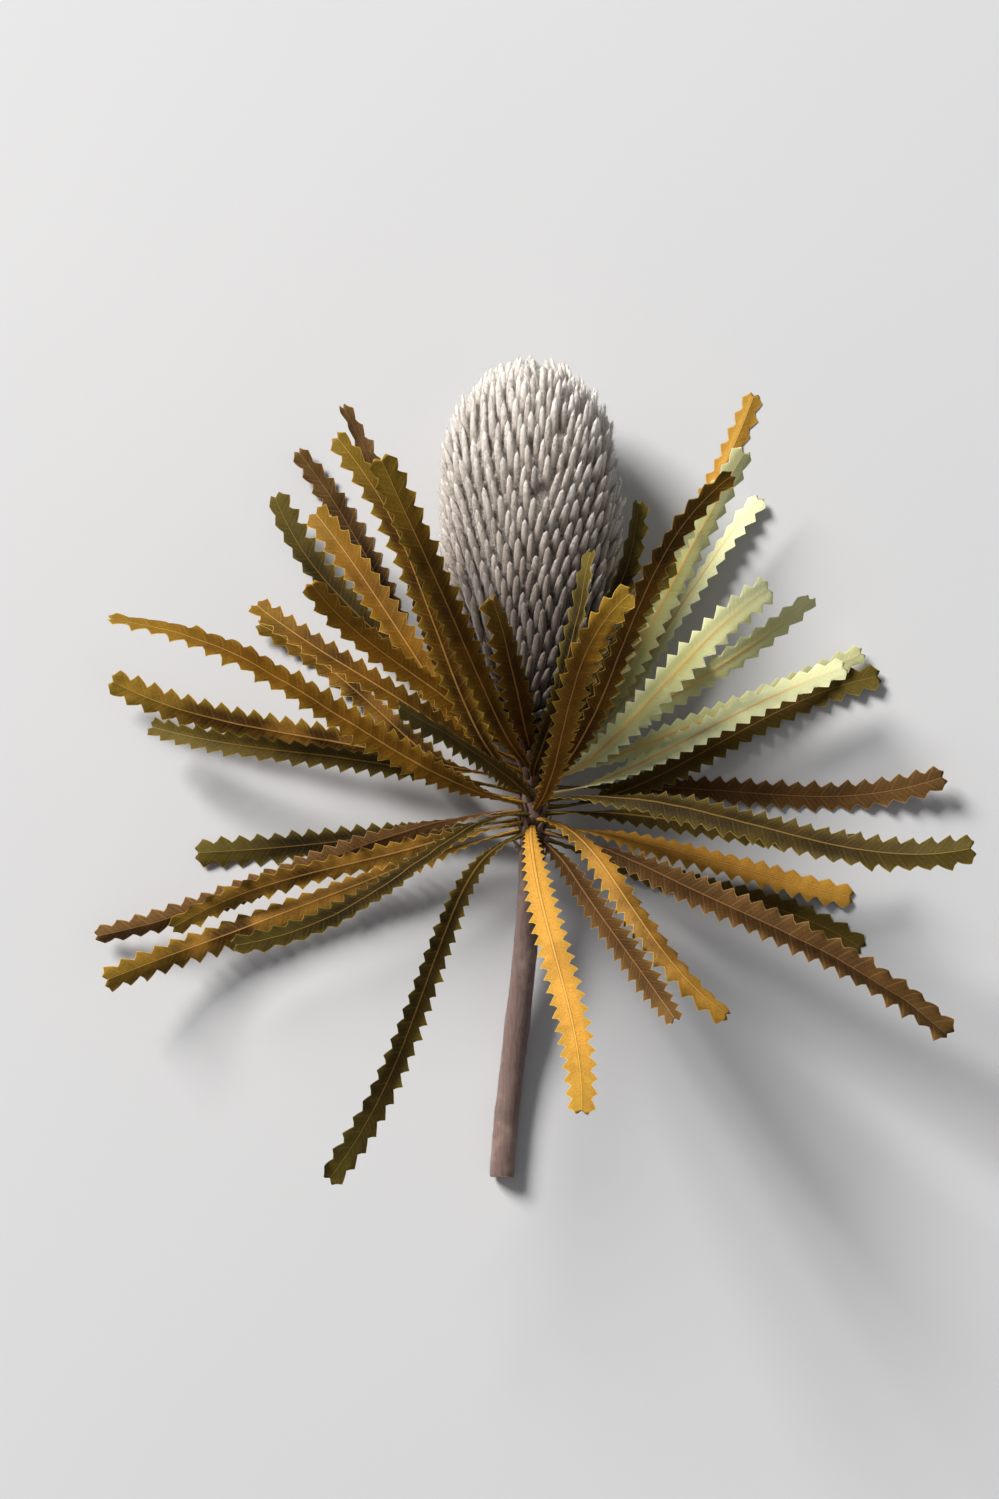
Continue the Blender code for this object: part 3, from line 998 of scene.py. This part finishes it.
def add_cone():
    """The core, the florets on it, and the hair, down and wool on both."""
    core = cone_core()
    core.materials.append(bpy.data.materials["wool_core"])
    core.shade_smooth()
    add_piece("cone_core", core, "cone_velvet", "cone")
    florets = grow("florets", floret_seats(), "floret_growth", "floret_velvet")
    add_piece("florets", florets, "cone_velvet")
    coat = floret_coat(florets)
    places = [(vertex.co - BASE).dot(AXIS) / CORE_LENGTH for vertex in florets.vertices]
    bands = zip(HAIR_BANDS, HAIR_BANDS[1:], FLORET_HAIR_SEEDS)
    for number, (low, high, seed) in enumerate(bands, 1):
        band = [hair if low <= place < high else BARE for hair, place in zip(coat, places)]
        surface = hairy_surface(florets, band)
        add_hairs(f"floret_hairs_{number}", "floret_hair", "cone_velvet", surface, seed)
    for name, coat in zip(("core_down", "tip_wool"), core_coats(core)):
        add_hairs(name, name, "cone_velvet", hairy_surface(core, coat, AXIS), CORE_HAIR_SEED)


# The leaves


def spine_mesh(plan):
    """The midrib as a line of points, each with half the blade's width as a vector."""
    spine = leaf_spine(plan)
    points = [spine[0][0] - spine[0][1] * BLADE_ROOT] + [point for point, _, _ in spine]
    reaches = [spine[0][2] * half_width(plan, 0)]
    reaches += [width * half_width(plan, k / SPINE_STEPS) for k, (_, _, width) in enumerate(spine)]
    edges = [(k, k + 1) for k in range(len(points) - 1)]
    return point_mesh("leaf_spine", points, edges, reach=reaches)


def past_body(nodes, across):
    """How far past the body of the blade a place is, from 0 to 1 at the tips of the teeth."""
    return nodes.reckon("MAXIMUM", across - BODY_SHARE, 0.0) / (1 - BODY_SHARE)


def along_teeth(nodes, given, row):
    """Each row's place in the saw, its tooth, its nearness to the peak, and its place along the leaf."""
    saw = nodes.reckon("MAXIMUM", row - ROOT_ROWS, 0.0) / TOOTH_ROWS
    tooth = nodes.reckon("FLOOR", saw)
    within = saw - tooth
    peak = TOOTH_TIP_ROW / TOOTH_ROWS
    rising = nodes.reckon("MINIMUM", within / peak, 1.0)
    falling = nodes.reckon("MINIMUM", (1 - within) / (1 - peak), 1.0)
    peaked = nodes.reckon("MINIMUM", rising ** given["Back"], falling ** given["Front"])
    place = tooth + (rising * given["Reach"] + (1 - falling) * (1 - given["Reach"]))
    return saw, tooth, peaked, place


def off_flat(nodes, given, middle, own, saw, across, half, u):
    """How far a place on the blade is lifted: it ripples, cockles, bends, turns up, and its teeth curl."""
    wave = nodes.reckon("SINE", (saw - across * VEIN_SLANT) * (2 * math.pi)) * across * given["Ripple"]
    cockle = (nodes.noise(middle, BLADE_COCKLES, 2.0) - 0.5) * nodes.ramp(u, 0.0, 0.3) * given["Cockle"] * 2
    bend = (across * across * given["Camber"] + across * given["Fold"]) * half * nodes.ramp(u, 0.0, 0.2)
    tooth_share = past_body(nodes, across)
    own_curl = nodes.ramp(nodes.noise(own + (3.0, 1.0, 9.0), 1.3, 1.0), 0.35, 0.65, -0.4, 1.4)
    curl = (nodes.noise(middle, BLADE_CURLS, 1.0) + own_curl) * nodes.ramp(u, 0.1, 0.35)
    hook = tooth_share * tooth_share * given["Hook"] * curl
    turned_up = nodes.ramp(u, 0.7, 1.0) * given["Tip"]
    return wave + cockle + hook + turned_up - bend


def blade_growth():
    """A leaf's blade along its midrib: a saw edge, a raised midrib, a curled and rippled surface."""
    nodes, spine, given = new_growth(
        "blade_growth",
        Teeth=20,
        Reach=0.6,
        Back=1.0,
        Front=1.3,
        Valley=0.58,
        Fuller=0.3,
        Uneven=0.25,
        Thickness=0.42 * MM,
        Midrib=0.4 * MM,
        Fold=0.1,
        Camber=0.2,
        Hook=1.0 * MM,
        Ripple=0.3 * MM,
        Cockle=0.5 * MM,
        Tip=2.0 * MM,
        Narrow=0.8,
        Number=0.5,
        Material=None,
    )
    line = nodes.get("GeometryNodeMeshToCurve", {"Mesh": spine})
    rows = given["Teeth"] * TOOTH_ROWS + ROOT_ROWS
    grid = {"Size X": 2.0, "Size Y": 1.0, "Vertices X": BLADE_COLUMNS, "Vertices Y": rows + 1}
    grid = nodes.get("GeometryNodeMeshGrid", grid)
    s, along, _ = nodes.split(nodes.get("GeometryNodeInputPosition"))
    row = nodes.reckon("ROUND", (along + 0.5) * rows)
    size = nodes.reckon("ABSOLUTE", s) ** COLUMN_CROWDING
    sign = nodes.reckon("SIGN", s)
    saw, tooth, peaked, place = along_teeth(nodes, given, row)
    ahead = place / given["Teeth"]
    ahead = ahead * EVEN_TEETH + ahead * ahead * (1 - EVEN_TEETH)
    root = nodes.reckon("MINIMUM", row / ROOT_ROWS, 1.0)
    u = root * PETIOLE_SHARE + ahead * (1 - PETIOLE_SHARE)

    depth = (1 - given["Valley"]) * nodes.ramp(u, 0.01, 0.12)
    own = nodes.combine(tooth * 0.83, sign * 7.0, given["Number"] * 50.0)
    stunted = nodes.ramp(nodes.noise(own, 1.0, 1.0), 0.45, 0.75) * given["Uneven"]
    edge = 1 - depth * (1 - peaked * (1 - stunted))
    across = nodes.reckon("MINIMUM", size, BODY_SHARE) + past_body(nodes, size) * (edge - BODY_SHARE)

    sample = {"Curves": line, "Value": nodes.attribute("reach", "FLOAT_VECTOR"), "Factor": u}
    sample = nodes.add("GeometryNodeSampleCurve", sample, data_type="FLOAT_VECTOR", mode="FACTOR")
    heading = nodes.out(sample, "Tangent")
    fuller = nodes.ramp(u, 0.0, 0.1) * nodes.ramp(u, 0.1, 0.6, 1.0, 0.0) * given["Fuller"] + 1
    narrowed = 1 - nodes.ramp(u, 0.72, 1.0) * (1 - given["Narrow"])
    reach = nodes.out(sample, "Value") * fuller * narrowed
    half = nodes.vector("LENGTH", reach, output="Value")
    lift = nodes.vector("NORMALIZE", nodes.vector("CROSS_PRODUCT", heading, reach))
    middle = nodes.out(sample, "Position") + reach * (across * sign)
    middle = middle + lift * off_flat(nodes, given, middle, own, saw, across, half, u)
    x, y, z = nodes.split(middle)
    middle = nodes.combine(x, y, nodes.reckon("MAXIMUM", z, BLADE_LOWEST))
    notch = nodes.ramp(across, 0.0, 0.5, 1.0, 0.0) * nodes.ramp(u, 0.985, 1.0)
    middle = middle - heading * notch * NOTCH_DEPTH

    closed = nodes.reckon("MINIMUM", row, 1.0) * nodes.reckon("MINIMUM", rows - row, 1.0)
    stalk = 1 + nodes.ramp(u, 0.02, 0.1, 2.6, 0.0)
    body = given["Thickness"] / 2 * stalk * (1 + EDGE_LEFT - size**4) ** 0.5 * closed
    rib = given["Midrib"] * nodes.ramp(size, 0.02, 0.13, 1.0, 0.0) * nodes.ramp(u, 0.1, 1.0, 1.0, 0.35)
    both = nodes.add("GeometryNodeJoinGeometry")
    for side, rib_share in ((1.0, UPPER_RIB), (-1.0, UNDER_RIB)):
        face = nodes.keep(grid, "blade", nodes.combine(across * sign, place, u), "FLOAT_VECTOR")
        to_edge, is_under = (edge - across) * half / MM, (1 - side) / 2
        leaf = nodes.combine(to_edge, is_under, given["Number"])
        face = nodes.keep(face, "leaf", leaf, "FLOAT_VECTOR")
        face = nodes.keep(face, "from_midrib", across * half / MM)
        placed = middle + lift * ((body + rib * closed * rib_share) * side)
        face = nodes.get("GeometryNodeSetPosition", {"Geometry": face, "Position": placed})
        if is_under:
            face = nodes.get("GeometryNodeFlipFaces", {"Mesh": face})
        nodes.join(face, both.inputs[0])
    blade = nodes.get("GeometryNodeMergeByDistance", {"Geometry": nodes.out(both), "Distance": WELD})
    nodes.finish(blade, given["Material"])


def joined(name, meshes):
    """One mesh of several, which keeps their attributes."""
    holders = [new_object(name, mesh) for mesh in meshes]
    with bpy.context.temp_override(
        active_object=holders[0], selected_editable_objects=holders, selected_objects=holders
    ):
        bpy.ops.object.join()
    mesh = holders[0].data
    bpy.data.objects.remove(holders[0])
    return mesh


def add_leaves():
    """Each leaf has a shape of its own, and the leaves of one colour are a piece."""
    draw = random.Random(LEAF_DETAIL_SEED)
    groups = {}
    for number, plan in enumerate(leaf_plans(), 1):
        leaf = f"leaf_{number:02d}"
        colour = plan["colour"]
        is_sage = colour == "leaf_sage"
        dryness = DRYNESS[colour]
        limpness = min(dryness, 1.0)
        blade = grow(
            leaf,
            spine_mesh(plan),
            "blade_growth",
            colour.replace("leaf", "blade"),
            Teeth=max(FEWEST_TEETH, round(plan["length"] * (1 - PETIOLE_SHARE) / TOOTH_PITCH)),
            Reach=draw.uniform(0.62, 0.7) if is_sage else draw.uniform(0.58, 0.72),
            Back=1.0 if is_sage else draw.uniform(0.8, 0.95),
            Front=1.0 if is_sage else draw.uniform(1.2, 1.7),
            Valley=draw.uniform(0.52, 0.6),
            Fuller=draw.uniform(0.7, 1.1),
            Uneven=draw.uniform(0.1, 0.5),
            Fold=draw.uniform(-0.15, 0.4) * dryness,
            Camber=draw.uniform(-0.15, 0.4) * dryness,
            Hook=draw.uniform(-1.3, 1.9) * MM * limpness,
            Ripple=draw.uniform(0.1, 0.3) * MM * limpness,
            Cockle=draw.uniform(0.5, 1.5) * MM * dryness,
            Tip=draw.uniform(-3.0, 6.0) * MM * dryness,
            Narrow=1.0 - draw.uniform(0.0, 0.45) * dryness / DRYNESS["leaf_brown"],
            Number=draw.random(),
        )
        groups.setdefault(colour, {})[leaf] = blade
    for colour, blades in groups.items():
        add_piece(colour.replace("leaf", "leaves"), joined(colour, blades.values()), colour, *blades)


# The stem


def scale_seats():
    """Where small dry scales grow, from a ruff under the cone to the last of the leaves."""
    draw = random.Random(SCALE_SEED)
    points, reaches, outwards, widths = [], [], [], []
    for number in range(SCALE_COUNT):
        age = number / (SCALE_COUNT - 1)
        below = mix(*SCALE_ZONE, age**SCALE_CROWDING)
        outward = around(number * GOLDEN_ANGLE)
        lean = mix(*SCALE_LEAN, smooth(below / UPRIGHT_BY)) + draw.uniform(-SCALE_STRAY, SCALE_STRAY)
        length = mix(*SCALE_LENGTH, smooth(below / SHORT_BY)) * draw.uniform(*SCALE_LENGTH_SPREAD)
        points.append(stem_line(below) + outward * (stem_radius(below) - SCALE_ROOT))
        reaches.append((AXIS * math.cos(lean) + outward * math.sin(lean)) * length)
        outwards.append(outward)
        widths.append(SCALE_WIDTH * draw.uniform(*SCALE_WIDTH_SPREAD))
    return point_mesh("scale_seats", points, reach=reaches, outward=outwards, width=widths)


def stem_growth():
    """The bark: a tube along the stem, with a fine grain and low knots."""
    nodes, path, given = new_growth(
        "stem_growth", Rings=200, Sides=32, Grain=0.16 * MM, Knots=0.35 * MM, Material=None
    )
    line = nodes.get("GeometryNodeMeshToCurve", {"Mesh": path})
    line = nodes.get("GeometryNodeResampleCurve", {"Curve": line, "Count": given["Rings"]})
    ring = nodes.get("GeometryNodeCurvePrimitiveCircle", {"Resolution": given["Sides"], "Radius": 1.0})
    swept = {"Curve": line, "Profile Curve": ring, "Scale": nodes.attribute("thickness"), "Fill Caps": True}
    bark = nodes.get("GeometryNodeCurveToMesh", swept)
    place = nodes.get("GeometryNodeInputPosition")
    grain = nodes.noise(nodes.drawn_out(place, GRAIN_SQUEEZE), BARK_GRAIN) - 0.5
    knots = nodes.ramp(nodes.noise(place, BARK_KNOTS, 1.0), 0.5, 0.8)
    out = nodes.get("GeometryNodeInputNormal") * (grain * given["Grain"] * 2 + knots * given["Knots"])
    bark = nodes.get("GeometryNodeSetPosition", {"Geometry": bark, "Offset": out})
    nodes.finish(bark, given["Material"])


def cut_end():
    """The stem's cut face, a shallow dome of rings over the bark's end."""
    centre = stem_line(STEM_LENGTH)
    along = (centre - stem_line(STEM_LENGTH - MM)).normalized()
    across = along.cross(UP).normalized()
    above = across.cross(along)
    radius = stem_radius(STEM_LENGTH) * CUT_SHARE
    dome_rings = CUT_RINGS - 1
    points = [centre + along * CUT_DOME]
    for ring in range(1, CUT_RINGS + 1):
        depth = CUT_DOME * (1 - (ring / dome_rings) ** 3) if ring <= dome_rings else -CUT_SKIRT
        out = radius * min(ring, dome_rings) / dome_rings
        for side in range(CUT_SIDES):
            angle = 2 * math.pi * side / CUT_SIDES
            spoke = across * math.cos(angle) + above * math.sin(angle)
            points.append(centre + along * depth + spoke * out)
    faces = ring_faces(CUT_RINGS, CUT_SIDES)
    faces.append(tuple(reversed(range(len(points) - CUT_SIDES, len(points)))))
    return point_mesh("stem_cut", points, faces=faces)


def add_stem():
    """The bark, its cut end, the dry scales under the cone, and the down."""
    distances = [mix(-STEM_ROOT, STEM_LENGTH, k / STEM_STEPS) for k in range(STEM_STEPS + 1)]
    points = [stem_line(s) for s in distances]
    radii = [stem_radius(s) * (BARK_SHARE if s < STEM_LENGTH else BARK_END_SHARE) for s in distances]
    path = point_mesh("stem_path", points, [(k, k + 1) for k in range(STEM_STEPS)], thickness=radii)
    bark = grow("stem", path, "stem_growth", "streaked_bark")
    add_piece("stem_bark", bark, "stem_bark", "stem")
    cut = cut_end()
    cut.materials.append(bpy.data.materials["cut_wood"])
    cut.shade_smooth()
    add_piece("stem_cut", cut, "stem_bark")
    scales = grow("scales", scale_seats(), "floret_growth", "dry_scale", Arch=0.12, Blunt=1.4, Flat=0.4)
    add_piece("scales", scales, "stem_bark")
    upwards = -(stem_line(STEM_LENGTH) - stem_line(0)).normalized()
    coat = [FULL if vertex.co.z > STEM_UNPRESSED else BARE for vertex in bark.vertices]
    add_hairs("stem_down", "stem_down", "stem_bark", hairy_surface(bark, coat, upwards), STEM_HAIR_SEED)


# Materials


def new_material(name):
    """A new material's nodes, and its shader."""
    material = bpy.data.materials.new(name)
    material.use_nodes = True
    return Nodes(material.node_tree), material.node_tree.nodes["Principled BSDF"]


def dress(nodes, shader, colour, roughness, relief=None, **fixed):
    """Joins a material's patterns to its shader, and sets what is the same all over on the shader itself."""
    nodes.join(colour, shader.inputs["Base Color"])
    nodes.join(roughness, shader.inputs["Roughness"])
    if relief:
        bump = dict(zip(("Height", "Strength", "Distance"), relief))
        nodes.join(nodes.get("ShaderNodeBump", bump), shader.inputs["Normal"])
    for name, value in fixed.items():
        shader.inputs[name.replace("_", " ")].default_value = value


def object_place(nodes):
    """The place on the object, for patterns that stay put on it."""
    return nodes.get("ShaderNodeTexCoord", output="Object")


def read(nodes, name, output="Fac"):
    """A value that a tree or keep_values stored on the mesh."""
    return nodes.get("ShaderNodeAttribute", output=output, attribute_name=name)


def from_whole(nodes, value):
    """How far a number is from the nearest whole one."""
    return nodes.reckon("ABSOLUTE", nodes.reckon("FRACT", value + 0.5) - 0.5)


def new_group(name, vectors, numbers, outputs):
    """A shader node group: its nodes, and the vectors and numbers that it is given."""
    tree = bpy.data.node_groups.new(name, "ShaderNodeTree")
    for kind, keys in (("NodeSocketVector", vectors), ("NodeSocketFloat", numbers)):
        for key in keys:
            tree.interface.new_socket(name=key, in_out="INPUT", socket_type=kind)
    for key in outputs:
        tree.interface.new_socket(name=key, in_out="OUTPUT", socket_type="NodeSocketFloat")
    nodes = Nodes(tree)
    group = nodes.add("NodeGroupInput")
    return nodes, [nodes.out(group, key) for key in (*vectors, *numbers)]


def build_mottle():
    """Shared unevenness: a broad one, as of age and sun, and a fine one, as of fibres."""
    nodes, (place, broad, fine) = new_group("mottle", ["Place"], ["Broad", "Fine"], ["Patches", "Fibres"])
    patches = nodes.ramp(nodes.noise(place, broad), 0.3, 0.7)
    nodes.add("NodeGroupOutput", {"Patches": patches, "Fibres": nodes.noise(place, fine, 4.0)})


def build_leaf_marks():
    """What every leaf is marked with: midrib, a painted shadow beside it, side veins to each tooth, fine
    veins and a pale margin.
    """
    marks = ["Midrib", "Rib Shadow", "Veins", "Net", "Margin", "Underside", "Number", "Outer"]
    nodes, given = new_group("leaf_marks", ["Blade", "Leaf", "Place"], ["From Midrib"], marks)
    blade, leaf, place, from_midrib = given
    x, saw, u = nodes.split(blade)
    to_edge, underside, number = nodes.split(leaf)
    across = nodes.reckon("ABSOLUTE", x)
    beside = from_midrib / (MIDRIB_HALF_WIDTH - u * MIDRIB_TAPER)
    slant = saw - across * VEIN_SLANT + VEIN_SHIFT
    main_veins = nodes.ramp(from_whole(nodes, slant), 0.015, 0.06, 1.0, 0.0)
    lesser_veins = nodes.ramp(from_whole(nodes, slant * VEINS_TO_A_TOOTH), 0.03, 0.14, LESSER_VEIN, 0.0)
    net = {"Vector": place, "Scale": NET_SCALE}
    cells = nodes.get("ShaderNodeTexVoronoi", net, "Distance", feature="DISTANCE_TO_EDGE")
    # The painted shadow lies in a band at a set distance beside the midrib
    off_rib_shadow = nodes.reckon("ABSOLUTE", beside - RIB_SHADOW_AT)
    made = {
        "Midrib": nodes.ramp(beside, 0.6, 0.95, 1.0, 0.0),
        "Rib Shadow": nodes.ramp(off_rib_shadow, 0.0, 0.45, 1.0, 0.0),
        "Veins": nodes.reckon("MAXIMUM", main_veins, lesser_veins),
        "Net": nodes.ramp(cells, 0.02, 0.12, 1.0, 0.0),
        "Margin": nodes.ramp(to_edge, 0.12, 0.4, 1.0, 0.0),
        "Underside": underside,
        "Number": number,
        "Outer": nodes.reckon("MAXIMUM", nodes.ramp(across, 0.25, 0.95), nodes.ramp(u, 0.7, 1.0)),
    }
    nodes.add("NodeGroupOutput", made)


def blade_material(name, finish):
    """A dry leaf: two faces of different colour, greener teeth, dark blotches, veins, midrib and margin,
    with painted shade on some leaves and a painted shadow beside the midrib.
    """
    nodes, shader = new_material(name)
    place = object_place(nodes)
    given = {"Blade": read(nodes, "blade", "Vector"), "Leaf": read(nodes, "leaf", "Vector")}
    given |= {"Place": place, "From Midrib": read(nodes, "from_midrib")}
    marks = nodes.group("leaf_marks", given)
    mottle = nodes.group("mottle", {"Place": place, "Broad": LEAF_PATCHES, "Fine": LEAF_FIBRES})
    patches, fibres = mottle["Patches"], mottle["Fibres"]
    dark_marks_and_shade, margin = finish["dark_marks_and_shade"], finish["margin"]
    green = nodes.reckon("FRACT", marks["Number"] * 7.13) * GREEN_SPREAD + LEAST_GREEN
    # Some leaves are darker than others: partly their own tone and partly painted shade
    own_tone_and_shade = (marks["Number"] - PALE_LEAVES) * DARK_SPREAD
    colour = nodes.blend(finish["upper"], finish["under"], marks["Underside"])
    colour = nodes.blend(colour, dark_marks_and_shade, patches * BLOTCH_TONE + own_tone_and_shade)
    colour = nodes.blend(colour, finish["outer"], marks["Outer"] * green)
    colour = nodes.blend(colour, dark_marks_and_shade, (fibres - 0.42) * FIBRE_TONE)
    colour = nodes.blend(colour, margin, marks["Veins"] * finish["vein_tone"] + marks["Net"] * NET_TONE)
    colour = nodes.blend(colour, margin, marks["Margin"] * (fibres + 0.1))
    # Painted shadow beside the raised midrib
    colour = nodes.blend(colour, dark_marks_and_shade, marks["Rib Shadow"] * RIB_SHADOW_TONE)
    rib = nodes.blend(finish["midrib"], margin, marks["Outer"] * RIB_FADES)
    colour = nodes.blend(colour, rib, marks["Midrib"] * finish["rib_tone"])
    height = marks["Veins"] * 0.6 + marks["Net"] * 0.35 + fibres * 0.5
    roughness = fibres * 0.25 + finish["roughness"]
    dress(nodes, shader, colour, roughness, (height, 0.5, 0.15 * MM), Specular_IOR_Level=0.17)


def velvet_material(name, dark, middle, pale, speckle, sheen):
    """Felted hair, darkest at a floret's root and palest at its tip and near the top of the cone, with
    painted shade darkening it towards the cone's base.
    """
    nodes, shader = new_material(name)
    share = read(nodes, "floret_share")
    shade = read(nodes, "pale")
    chance = read(nodes, "chance")
    felt = nodes.noise(nodes.drawn_out(object_place(nodes), FELT_SQUEEZE), FLORET_FELT, 4.0)
    dark = nodes.blend(dark, middle, nodes.ramp(shade, 0.35, 1.0, 0.0, 0.7))
    colour = nodes.blend(dark, middle, nodes.ramp(share, 0.15, 0.6))
    # Paler towards the cone's top: partly the florets' own colour and partly painted shade lower down
    colour = nodes.blend(colour, pale, nodes.ramp(share, 0.3, 0.9) * shade)
    colour = nodes.blend(colour, dark, (felt - 0.45) * 1.3 + (chance - 0.5) * speckle)
    # Painted shade: darker still towards the cone's base
    colour = nodes.blend(colour, dark, nodes.ramp(shade, 0.0, 0.5, 0.75, 0.0))
    dress(nodes, shader, colour, 0.95, (felt, 0.8, 0.4 * MM), Sheen_Weight=sheen, Sheen_Roughness=0.6)


def paling(nodes, lower, upper):
    """A colour that turns into a second one from the cone's base to its tip: paler towards the tip as the
    wool's own colour, and darker at the base partly as painted shade.
    """
    return nodes.blend(lower, upper, nodes.ramp(read(nodes, "axis_share"), 0.1, 1.0))


def wool_core_material():
    nodes, shader = new_material("wool_core")
    felt = nodes.noise(object_place(nodes), CORE_FELT)
    light = paling(nodes, (0.16, 0.125, 0.1), (0.84, 0.79, 0.74))
    dark = paling(nodes, (0.03, 0.02, 0.015), (0.36, 0.315, 0.28))
    colour = nodes.blend(dark, light, nodes.ramp(felt, 0.35, 0.65))
    dress(nodes, shader, colour, 1.0, (felt, 0.8, 0.4 * MM))


def core_down_material():
    nodes, shader = new_material("core_down")
    light = paling(nodes, (0.24, 0.19, 0.155), (0.9, 0.86, 0.82))
    dark = paling(nodes, (0.05, 0.035, 0.027), (0.46, 0.41, 0.37))
    colour = nodes.blend(dark, light, nodes.ramp(read(nodes, "chance"), 0.1, 0.8))
    dress(nodes, shader, colour, 1.0, Sheen_Weight=0.2)


def tip_wool_material():
    nodes, shader = new_material("tip_wool")
    patch = nodes.noise(object_place(nodes), WOOL_PATCHES, 2.0)
    cream, rust = (0.78, 0.72, 0.62), (0.5, 0.25, 0.09)
    dress(nodes, shader, nodes.blend(cream, rust, nodes.ramp(patch, 0.5, 0.62)), 0.9, Sheen_Weight=0.3)


def dry_scale_material():
    """Dark brown at a scale's root, paler and felted towards its tip."""
    nodes, shader = new_material("dry_scale")
    felt = nodes.noise(object_place(nodes), SCALE_FELT)
    root, tip, felted = (0.06, 0.032, 0.02), (0.22, 0.13, 0.08), (0.34, 0.24, 0.17)
    colour = nodes.blend(root, tip, nodes.ramp(read(nodes, "floret_share"), 0.1, 1.0))
    tone = (felt - 0.4) * 0.8 + (read(nodes, "chance") - 0.5) * 0.4
    colour = nodes.blend(colour, felted, tone)
    dress(nodes, shader, colour, 0.85, (felt, 0.6, 0.3 * MM), Sheen_Weight=0.2)


def bark_material():
    """Fine streaks along the stem, with pale blotches."""
    nodes, shader = new_material("streaked_bark")
    place = object_place(nodes)
    streaks = nodes.noise(nodes.drawn_out(place, STREAK_SQUEEZE), BARK_STREAKS, 4.0)
    blotches = nodes.ramp(nodes.noise(place, BARK_BLOTCHES), 0.52, 0.75)
    colour = nodes.blend((0.1, 0.062, 0.052), (0.27, 0.185, 0.16), streaks)
    colour = nodes.blend(colour, (0.36, 0.27, 0.22), blotches * 0.6)
    dress(nodes, shader, colour, 0.85, (streaks, 0.7, 0.3 * MM), Sheen_Weight=0.3)


def stem_down_material():
    nodes, shader = new_material("stem_down")
    patches = nodes.noise(object_place(nodes), DOWN_PATCHES)
    colour = nodes.blend((0.22, 0.16, 0.14), (0.42, 0.33, 0.29), patches)
    dress(nodes, shader, colour, 0.9, Sheen_Weight=0.3)


def cut_wood_material():
    """Growth rings round a dark pith."""
    nodes, shader = new_material("cut_wood")
    place = nodes.vector("SUBTRACT", object_place(nodes), tuple(stem_line(STEM_LENGTH)))
    x, _, z = nodes.split(place)
    radius = nodes.vector("LENGTH", nodes.combine(x, 0.0, z), output="Value")
    rings = nodes.reckon("SINE", radius * WOOD_RINGS + nodes.noise(place, WOOD_WAVER) * 4)
    early_wood, late_wood, pith = (0.5, 0.36, 0.2), (0.62, 0.48, 0.3), (0.2, 0.12, 0.07)
    colour = nodes.blend(early_wood, late_wood, rings * 0.5 + 0.5)
    colour = nodes.blend(pith, colour, nodes.ramp(radius, 0.5 * MM, 0.9 * MM))
    dress(nodes, shader, colour, 0.8, (rings, 0.3, 0.1 * MM))


def build_materials():
    build_mottle()
    build_leaf_marks()
    for name, finish in BLADE_FINISHES.items():
        blade_material(name, finish)
    for name, finish in VELVET_FINISHES.items():
        velvet_material(name, **finish)
    wool_core_material()
    core_down_material()
    tip_wool_material()
    dry_scale_material()
    bark_material()
    stem_down_material()
    cut_wood_material()


# The floor, lights and camera


def aimed(name, data, place, target):
    """A light or a camera at a place, turned towards a target."""
    added = new_object(name, data)
    added.location = place
    added.rotation_euler = (target - Vector(place)).to_track_quat("-Z", "Y").to_euler()
    return added


def add_stage():
    corners = [(x * FLOOR_REACH, y * FLOOR_REACH, 0) for x, y in ((-1, -1), (1, -1), (1, 1), (-1, 1))]
    floor_mesh = point_mesh("floor", corners, faces=[(0, 1, 2, 3)])
    nodes, shader = new_material("pale_floor")
    shade = nodes.noise(object_place(nodes), FLOOR_PATCHES, 2.0)
    colour = nodes.blend((0.6, 0.6, 0.61), (0.63, 0.63, 0.635), shade)
    dress(nodes, shader, colour, 0.9)
    floor_mesh.materials.append(bpy.data.materials["pale_floor"])
    new_object("floor", floor_mesh)

    world = bpy.data.worlds.new("soft_room")
    world.use_nodes = True
    world.node_tree.nodes["Background"].inputs["Color"].default_value = (*AIR_COLOUR, 1)
    world.node_tree.nodes["Background"].inputs["Strength"].default_value = AIR_LIGHT
    bpy.context.scene.world = world
    bpy.context.scene.view_settings.view_transform = "Standard"
    bpy.context.scene.view_settings.look = "Medium High Contrast"
    for name, (place, size, power, tint) in LIGHTS.items():
        light = bpy.data.lights.new(name, "AREA")
        light.shape = "SQUARE"
        light.size = size
        light.energy = power
        light.color = tint
        aimed(name, light, place, LIT_PLACE)


def add_camera():
    lens = bpy.data.cameras.new("camera")
    lens.lens = FOCAL_LENGTH
    lens.sensor_width = SENSOR_WIDTH
    lens.clip_start = NEAREST_SEEN
    lens.clip_end = FURTHEST_SEEN
    back = Vector((0, -math.cos(CAMERA_ELEVATION), math.sin(CAMERA_ELEVATION)))
    bpy.context.scene.camera = aimed("camera", lens, LOOKS_AT + back * CAMERA_DISTANCE, LOOKS_AT)


def main():
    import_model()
    add_stage()
    add_camera()
    build_materials()
    for build_tree in (floret_growth, hair_growth, blade_growth, stem_growth):
        build_tree()
    add_leaves()
    add_stem()
    add_cone()


main()
